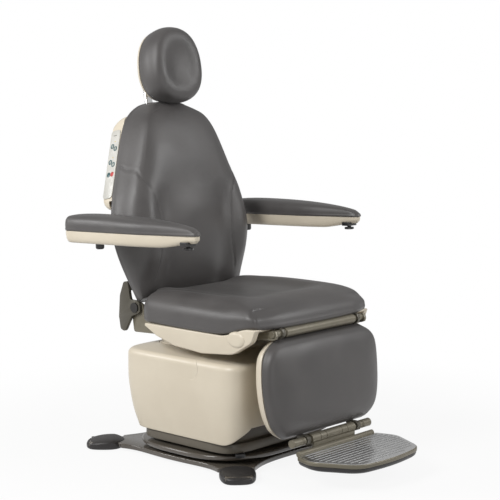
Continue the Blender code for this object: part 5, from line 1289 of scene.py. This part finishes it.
def buildHousing(s):
    near, rear = s["near"], s["near"] + s["depth"]

    def sideAt(z):
        return s["halfLow"] + (s["halfTop"] - s["halfLow"]) * (z - s["low"]) / (s["top"] - s["low"])

    def curl(f, start, size):
        k = max(0.0, (f - start) / (1 - start))
        return size * (1 - math.sqrt(max(1 - k * k, 0.0)))

    rings = []
    for i in range(25):
        f = math.sin(math.pi / 2 * i / 24)
        top, low = s["top"] - curl(f, 0.08, s["topCurl"]), s["low"] + curl(f, 0.30, s["lowCurl"])
        inset = curl(f, 0.86, 0.007)
        corners = [(-sideAt(low) + inset, low, 0.028), (sideAt(low) - inset, low, 0.028),
                   (sideAt(top) - inset, top, 0.030), (-sideAt(top) + inset, top, 0.030)]
        rings.append([(p.x, near + s["depth"] * f, p.y) for p in roundedLine(corners, 12)])
    shell = toObject("rearHousing", loftSkin(rings, False, True))
    thicken(shell, s["wall"])
    bake(shell)
    sill, low = s["sill"], s["low"]
    notch = plainBox(-sill, low - 0.01, sill, low + 0.030)
    cutAway(shell, toObject("sill", slabSkin(notch, near - 0.01, s["boardRear"] + 0.001, "front")))
    slot = plainBox(-s["slotHalf"], s["top"] - 0.05, s["slotHalf"], s["top"] + 0.02)
    cutAway(shell, toObject("slot", slabSkin(slot, near - 0.01, s["slotDepth"], "front")))
    shell.data.transform(backFrame)
    settle(shell, "back", looks["ivory"], "ivory", "rear_housing", angle=40)
    profile = [(0.0005, 0.0016), (0.0034, 0.0014), (0.0046, 0.0004), (0.0048, -0.001), (0.0005, -0.001)]
    for x, z in s["screws"]:
        place = backFrame @ Matrix.Translation((x, rear, z)) @ Matrix.Rotation(math.radians(-90), 4, "X")
        screw = toObject("housingScrew_%d_%d" % (x > 0, z > 0.4), turnSkin(profile, 24), place)
        settle(screw, "back", looks["steel"], "steel")


def panelFrame(s):
    along = Vector((s["halfLow"] - s["halfTop"], 0, s["top"] - s["low"])).normalized()
    out = Vector((-along.z, 0, along.x))
    middle = s["near"] + s["depth"] / 2 + s["panel"]["shift"]
    centre = Vector((-(s["halfLow"] + s["halfTop"]) / 2, middle,
                     (s["low"] + s["top"]) / 2)) + out * s["panel"]["lift"]
    turn = Matrix((Vector((0, -1, 0)), along, out)).transposed()
    return backFrame @ Matrix.Translation(centre) @ turn.to_4x4()


def ringSkin(outer, inner, low, high, ease=0.0002):
    return tubeSkin([(outer, low), (outer, high - ease), (outer - ease, high), (inner + ease, high),
                     (inner, high - ease), (inner, low), (outer, low)])


def buildPanel(s, b):
    place, p = panelFrame(s), s["panel"]
    outline = roundedBox(p["width"] / 2, p["length"] / 2, 0.012, 10)
    plate = toObject("controlPanel", slabSkin(outline, 0, p["thick"]))
    roundEdges(plate, 0.0007, 3, 50)
    bake(plate)
    base = p["thick"] - b["height"] + b["travel"] / 2
    for x, y in b["places"].values():
        r, floor = b["radius"] + b["gap"], base - b["travel"] - 0.0003
        tool = toObject("well", turnSkin([(r, 0.01), (r, floor)], 40), Matrix.Translation((x, y, 0)))
        cutAway(plate, tool)
    plate.data.transform(place)
    settle(plate, "back", looks["panelWhite"], "panel_white", "control_panel")
    for use, (x, y) in b["places"].items():
        at = place @ Matrix.Translation((x, y, base))
        solid = use in ("return", "stop")
        key = "padRed" if use == "stop" else "padTeal" if solid else "panelWhite"
        r, h = b["radius"], b["height"]
        cap = toObject("button_cap_" + use, turnSkin([(0.0004, h), (r * 0.55, h - 0.00005),
                                                      (r * 0.85, h - 0.0002), (r * 0.97, h - 0.0005),
                                                      (r, h - 0.0009), (r, 0), (0.0004, 0)], 40), at)
        settle(cap, use + "_button", looks[key], "pad_red" if use == "stop" else "pad_teal",
               "button_" + use)
        ringMark = toObject("panelRing_" + use, ringSkin(r + 0.0022, r + 0.0005, p["thick"] - 0.0004,
                                                         p["thick"] + 0.00012),
                            place @ Matrix.Translation((x, y, 0)))
        settle(ringMark, "back", looks["padRed" if use == "stop" else "padTeal"], "panel_white")
        if not solid:
            rim = toObject("button_rim_" + use, ringSkin(r * 0.99, r * 0.62, h - 0.0008, h + 0.00012), at)
            settle(rim, use + "_button", looks["padTeal"], "pad_teal")
            tip = b["points"][use]
            arrow = [(-0.0019, -0.0011 * tip), (0.0019, -0.0011 * tip), (0, 0.0019 * tip)]
            mark = toObject("button_arrow_" + use, slabSkin(arrow if tip > 0 else arrow[::-1], h - 0.0004,
                                                            h + 0.0001), at)
            settle(mark, use + "_button", looks["padTeal"], "pad_teal")
    # small plain dashes above each pair, as indicator marks
    for name, (x, y, wide) in b["dashes"].items():
        dash = roundedBox(wide / 2, 0.001, 0.0009, 4, (x, y))
        mark = toObject("panelMark_" + name, slabSkin(dash, p["thick"] - 0.0004, p["thick"] + 0.0001),
                        place)
        settle(mark, "back", looks["amber" if name != "top" else "plinth"], "panel_white")


buildHousing(housingSettings)
buildPanel(housingSettings, buttonSettings)
print("housing and panel done")

# headrest back plate
headShellSettings = {"front": -0.0297, "half": (0.0965, 0.1050),
                     "levels": ((0.0, 0.0), (0.0, 0.0045), (0.0012, 0.0066), (0.0035, 0.0082),
                                (0.0080, 0.0094), (0.016, 0.010))}


def buildHeadShell(s):
    rings = []
    for inset, depth in s["levels"]:
        loop = superLoop(s["half"][0] - inset, s["half"][1] - inset, 2.3, 120)
        rings.append([(p.x * (1 - 0.08 * p.y / 0.112), s["front"] + depth, p.y) for p in loop])
    shell = toObject("headrestBack", loftSkin(rings, True, True), headFrame)
    settle(shell, "headrest", looks["ivory"], "ivory", "headrest_shell")


buildHeadShell(headShellSettings)

# leg shell, hinge bars
legShellSettings = {"front": 0.0103, "deep": 0.034, "wall": 0.004, "steps": 60,
                    "levels": ((0.0, 0.002), (0.18, 0.0022), (0.35, 0.0032), (0.55, 0.0058),
                               (0.75, 0.0100), (0.90, 0.017), (0.97, 0.024), (1.0, 0.032))}


def buildLegShell(s):
    g = legSettings
    rings = []
    for depth, inset in s["levels"]:
        sideLine = []
        for i in range(s["steps"] + 1):
            t = i / s["steps"]
            sideLine.append((alongStations(g["stations"], t) - inset,
                             g["low"] + inset + (g["top"] - g["low"] - 2 * inset) * t))
        outline = sideLine + [(-x, z) for x, z in reversed(sideLine)]
        rings.append([(x, s["front"] + s["deep"] * depth, z) for x, z in outline])
    shell = toObject("legShell", loftSkin(rings, False, True))
    thicken(shell, s["wall"])
    bake(shell)
    front, low = s["front"], g["top"] - 0.094
    cuts = [((-0.1718, front - 0.010, low), (-0.1612, front + 0.022, 0.040)),
            ((0.1575, front - 0.010, low), (0.190, front + 0.080, 0.040)),
            ((-0.1193, front - 0.010, -0.345), (-0.1047, front + 0.008, g["low"] + 0.050)),
            ((0.1047, front - 0.010, -0.345), (0.1193, front + 0.008, g["low"] + 0.050))]
    for a, b in cuts:
        cutAway(shell, toObject("notch", slabSkin(plainBox(*a[:2], *b[:2]), a[2], b[2])))
    shell.data.transform(legFrame)
    settle(shell, "leg", looks["ivory"], "ivory", "leg_shell", angle=40)


hingeSettings = {"legBar": {"halfLength": 0.204, "radius": 0.010},
                 "legSleeve": {"halfLength": 0.152, "radius": 0.0138},
                 "footBar": {"halfLength": 0.172, "radius": 0.0095,
                             "grooves": [(x, 0.0012, 0.0009) for x in (-0.126, -0.1215, 0.126, 0.1215)]},
                 "footBarrel": {"x": 0.1475, "halfLength": 0.0265, "radius": 0.0120,
                                "groovesAt": (0.017, 0.011)}}


def barAlongX(name, place, halfLength, radius, grooves=()):  # each groove is (place, width, depth)
    profile = [(radius * 0.3, halfLength), (radius - 0.0015, halfLength), (radius, halfLength - 0.0015)]
    for at, wide, deep in sorted(grooves, key=lambda g: -g[0]):
        profile += [(radius, at + wide / 2), (radius - deep, at + wide / 2 - 0.0003),
                    (radius - deep, at - wide / 2 + 0.0003), (radius, at - wide / 2)]
    profile += [(radius, -halfLength + 0.0015), (radius - 0.0015, -halfLength),
                (radius * 0.3, -halfLength)]
    return toObject(name, turnSkin(profile, 40), place @ Matrix.Rotation(math.radians(90), 4, "Y"))


buildLegShell(legShellSettings)
legAxis, footAxis = (Matrix.Translation(spots[name]) for name in ("leg_raise", "foot_fold"))
for name, axis, body, settings, node in (("legHingeBar", legAxis, "seat", "legBar", ["leg_hinge_bar"]),
                                         ("footHingeBar", footAxis, "leg", "footBar", ["foot_hinge_bar"]),
                                         ("legHingeSleeve", legAxis, "seat", "legSleeve", [])):
    bar = barAlongX(name, axis, **hingeSettings[settings])
    settle(bar, body, looks["taupe"], "taupe", *node)
for place, sign in sideSign.items():  # barrel ends outside the hinge lugs
    s = hingeSettings["footBarrel"]
    end = barAlongX("footBarrel_" + place, footAxis @ Matrix.Translation((sign * s["x"], 0, 0)),
                    s["halfLength"], s["radius"], [(-sign * x, 0.0016, 0.0014) for x in s["groovesAt"]])
    settle(end, "leg", looks["taupe"], "taupe")
print("leg section done")

# foot plate with its ribbed tread
footSettings = {"rear": -0.022, "waist": -0.086, "front": -0.229, "bow": 0.018, "halfRear": 0.178,
                "halfWaist": 0.198, "halfFront": 0.136, "top": -0.029, "rim": 0.012, "tread": 0.0025,
                "under": 0.017, "inset": 0.013, "cover": 0.0035, "ribPitch": 0.0150, "ribWidth": 0.0056,
                "ribHeight": 0.0017, "sleeve": 0.096, "barRadius": 0.0095}


def footOutline(s, inset, steps=12):
    corners = [(-s["halfRear"], s["rear"]), (-s["halfWaist"], s["waist"]),
               (-s["halfFront"], s["front"] + s["bow"]), (0, s["front"]),
               (s["halfFront"], s["front"] + s["bow"]), (s["halfWaist"], s["waist"]),
               (s["halfRear"], s["rear"])]
    middle = (s["rear"] + s["front"]) / 2
    shrinkX, shrinkY = 1 - inset / s["halfWaist"], 1 - 2 * inset / (s["rear"] - s["front"])
    radii = (0.014, 0.060, 0.070, 0.520, 0.070, 0.060, 0.014)
    line = roundedLine([(x * shrinkX, middle + (y - middle) * shrinkY, r)
                        for (x, y), r in zip(corners, radii)], steps)
    return [(p.x, p.y) for p in line]


def buildFoot(s):
    tray = toObject("footPlate", slabSkin(footOutline(s, 0), s["top"] - s["rim"], s["top"]))
    roundEdges(tray, 0.0034, 4, 50)
    bake(tray)
    wellFloor = s["top"] - s["tread"] + 0.0008 - 0.0003
    cutAway(tray, toObject("well", slabSkin(footOutline(s, s["inset"] - 0.0003), wellFloor,
                                            wellFloor + 0.02)))
    tray.data.transform(footFrame)
    settle(tray, "foot", looks["taupe"], "taupe", "foot_plate", angle=40)
    lip = barAlongX("footLip", footFrame @ Matrix.Translation((0, s["rear"] + 0.003, s["top"] + 0.002)),
                    s["halfRear"] * 0.94, 0.0085)
    settle(lip, "foot", looks["taupe"], "taupe")
    half, r = s["sleeve"], s["barRadius"] + 0.005
    inner = s["barRadius"] + 0.0004
    profile = [(inner, half), (r - 0.001, half), (r, half - 0.001)]
    for at in (0.060, 0.034, -0.034, -0.060):  # rolled knuckle joints
        profile += [(r, at + 0.0009), (r - 0.0016, at + 0.0005), (r - 0.0016, at - 0.0005),
                    (r, at - 0.0009)]
    profile += [(r, -half + 0.001), (r - 0.001, -half), (inner, -half), (inner, half)]
    sleeve = toObject("footSleeve", tubeSkin(profile),
                      footFrame @ Matrix.Rotation(math.radians(90), 4, "Y"))
    settle(sleeve, "foot", looks["taupe"], "taupe")
    outline = plainBox(-half + 0.004, -0.014, half - 0.004, -0.005)
    web = toObject("footWeb", slabSkin(outline, s["top"] - 0.004, -0.0085), footFrame)
    roundEdges(web, 0.001, 2)
    settle(web, "foot", looks["taupe"], "taupe")
    top = s["top"] + 0.0016
    rings = [[(x, y, z) for x, y in footOutline(s, inset)]
             for inset, z in ((s["cover"], s["top"] + 0.0001), (s["cover"], top - 0.0009),
                              (s["cover"] + 0.0042, top))]
    tread = toObject("footTread", loftSkin(rings, True, True))
    tread.data.transform(footFrame)
    settle(tread, "foot", looks["aluminium"], "aluminium", "foot_tread")
    edge = footOutline(s, s["cover"] + 0.012)
    work = bmesh.new()
    y = s["front"] + 0.024
    while y < s["rear"] - 0.016:
        crossings = []
        for (ax, ay), (bx, by) in zip(edge, edge[1:] + edge[:1]):
            if (ay - y) * (by - y) < 0:
                crossings.append(ax + (bx - ax) * (y - ay) / (by - ay))
        if len(crossings) >= 2:
            left, right = min(crossings), max(crossings)
            if right - left > 0.02:
                addRib(work, left, right, y, top, s)
        y += s["ribPitch"]
    ribs = toObject("footRibs", work, footFrame)
    # the ribs take the darker aluminium: painted shade between the ribs
    settle(ribs, "foot", looks["ribMetalPaintedShade"], "aluminium", angle=60)
    rings = []
    for depth, inset in ((0.0, 0.002), (0.2, 0.0022), (0.40, 0.0034), (0.55, 0.005), (0.72, 0.0088),
                         (0.85, 0.014), (0.95, 0.0215), (1.0, 0.030)):
        rings.append([(x, y, s["top"] - s["rim"] - 0.0003 - s["under"] * depth)
                      for x, y in footOutline(s, inset)])
    under = toObject("footUnderside", loftSkin(rings, True, True), footFrame)
    settle(under, "foot", looks["bootRubber"], "boot_rubber", "foot_underside", angle=50)


def addRib(work, a, b, y, z, s):
    half, rise = s["ribWidth"] / 2, s["ribHeight"]
    rows = []
    for x, grow in ((a, 0.0), (a + half * 0.4, 0.75), (a + half, 1.0), (b - half, 1.0),
                    (b - half * 0.4, 0.75), (b, 0.0)):
        section = []
        for k in range(7):
            t = -1 + 2 * k / 6
            section.append(work.verts.new((x, y + half * t * max(grow, 0.15),
                                           z + rise * grow * (1 - t * t) - 0.0001)))
        rows.append(section)
    for p, q in zip(rows, rows[1:]):
        for k in range(6):
            work.faces.new((p[k], p[k + 1], q[k + 1], q[k]))


buildFoot(footSettings)
print("foot plate done")

# CAD nodes that stay, with eased edges and a finish of their slot
easeSettings = {"seat_frame": 0.0012, "back_frame": 0.0012, "leg_frame": 0.0012,
                "swivel_lock_lever": 0.0012, "headrest_bracket": 0.0010, "headrest_post": 0.0008,
                "back_shell": 0.0010, "recline_drive": 0.0012, "sync_link": 0.0008, "power_inlet": 0.0008,
                "column_inner": 0.0008, "column_middle": 0.0008, "column_outer": 0.0008,
                "arm_bar_right": 0.0006, "arm_bar_left": 0.0006}
# the back and leg frames take the darker taupe as painted shade; the post is chrome and the recline pins are
# blackened
ownLook = {"headrest_post": "chrome", "back_frame": "taupePaintedShade", "leg_frame": "taupePaintedShade",
           "recline_pin_right": "blackened", "recline_pin_left": "blackened"}
slots = {part["node"]: part["material_slot"] for part in frame["record"]["subparts"]}
kept = 0
for name, node in nodes.items():
    if node.hide_render:
        continue
    node.data.materials.clear()
    node.data.materials.append(looks[ownLook.get(name, slotLook[slots[name]])])
    weld = node.modifiers.new("weld", "WELD")
    weld.merge_threshold = 0.00002
    if name in easeSettings:
        roundEdges(node, easeSettings[name], 2, 40)
    node.data.shade_smooth()
    flat = node.modifiers.new("flat", "EDGE_SPLIT")
    flat.split_angle = math.radians(32)
    kept += 1
print("kept CAD nodes:", kept)

# floor, light and backdrop
stageSettings = {"floor": 9.0, "near": 0.70, "far": 1.6, "shade": 0.10, "bounce": 0.36, "ambient": 0.31,
                 "mirrored": 0.45}
lampSettings = {"key": {"at": (-2.9, 0.2, 2.5), "aim": (0, 0.1, 0.55), "size": 1.3, "power": 74},
                "front": {"at": (1.9, -2.8, 2.4), "aim": (0, 0.1, 0.7), "size": 2.0, "power": 62},
                "low": {"at": (-1.3, -3.3, 0.9), "aim": (0, 0.1, 0.5), "size": 0.9, "power": 9},
                "kicker": {"at": (-2.3, 2.4, 1.7), "aim": (0, 0.1, 0.7), "size": 0.8, "power": 28}}


def buildStage(s):
    white = (1, 1, 1, 1)
    floor = toObject("floor", loftSkin([circleRing(s["floor"], 0, 64)], False, True))
    for face in floor.data.polygons:
        if face.normal.z < 0:
            face.flip()
    look = bpy.data.materials.new("floor")
    look.use_nodes = True
    tree = look.node_tree
    tree.nodes.clear()
    plain = setInputs(put(tree, "BsdfDiffuse"), Color=(0.80, 0.80, 0.80, 1))
    bounce = setInputs(put(tree, "BsdfDiffuse"), Color=(s["bounce"], s["bounce"], s["bounce"], 1))
    glow = setInputs(put(tree, "Emission"), Color=white, Strength=1.0)
    reach = put(tree, "VectorMath", operation="LENGTH")
    wire(tree, put(tree, "TexCoord"), "Object", reach, 0)
    fade = remap(tree, reach, "Value", s["near"], s["far"], 1 - s["shade"], 1.0)
    shown = mixShaders(tree, fade, "Result", plain, glow)
    rays = put(tree, "LightPath")
    seen = mathOf(tree, "MAXIMUM", (rays, "Is Camera Ray"), (rays, "Is Glossy Ray"))
    seen = mathOf(tree, "MAXIMUM", (seen, 0), (rays, "Is Transmission Ray"))
    final = mixShaders(tree, seen, 0, bounce, shown)
    wire(tree, final, 0, put(tree, "OutputMaterial"), "Surface")
    floor.data.materials.append(look)
    world = bpy.data.worlds.new("backdrop")
    bpy.context.scene.world = world
    world.use_nodes = True
    tree = world.node_tree
    tree.nodes.clear()
    soft = setInputs(put(tree, "Background"), Color=(1.0, 0.99, 0.975, 1), Strength=s["ambient"])
    clear = setInputs(put(tree, "Background"), Color=white, Strength=1.0)
    bright = setInputs(put(tree, "Background"), Color=white, Strength=s["mirrored"])
    rays = put(tree, "LightPath")
    mirrored = mixShaders(tree, rays, "Is Glossy Ray", soft, bright)
    both = mixShaders(tree, rays, "Is Camera Ray", mirrored, clear)
    wire(tree, both, 0, put(tree, "OutputWorld"), "Surface")


def buildLamps(settings):
    for name, s in settings.items():
        lamp = bpy.data.lights.new(name, "AREA")
        lamp.energy = s["power"]
        lamp.size = s["size"]
        made = bpy.data.objects.new(name, lamp)
        made.location = s["at"]
        made.rotation_euler = (Vector(s["aim"]) - made.location).to_track_quat("-Z", "Y").to_euler()
        bpy.context.scene.collection.objects.link(made)


buildStage(stageSettings)
buildLamps(lampSettings)
bpy.context.scene.view_settings.view_transform = "Standard"
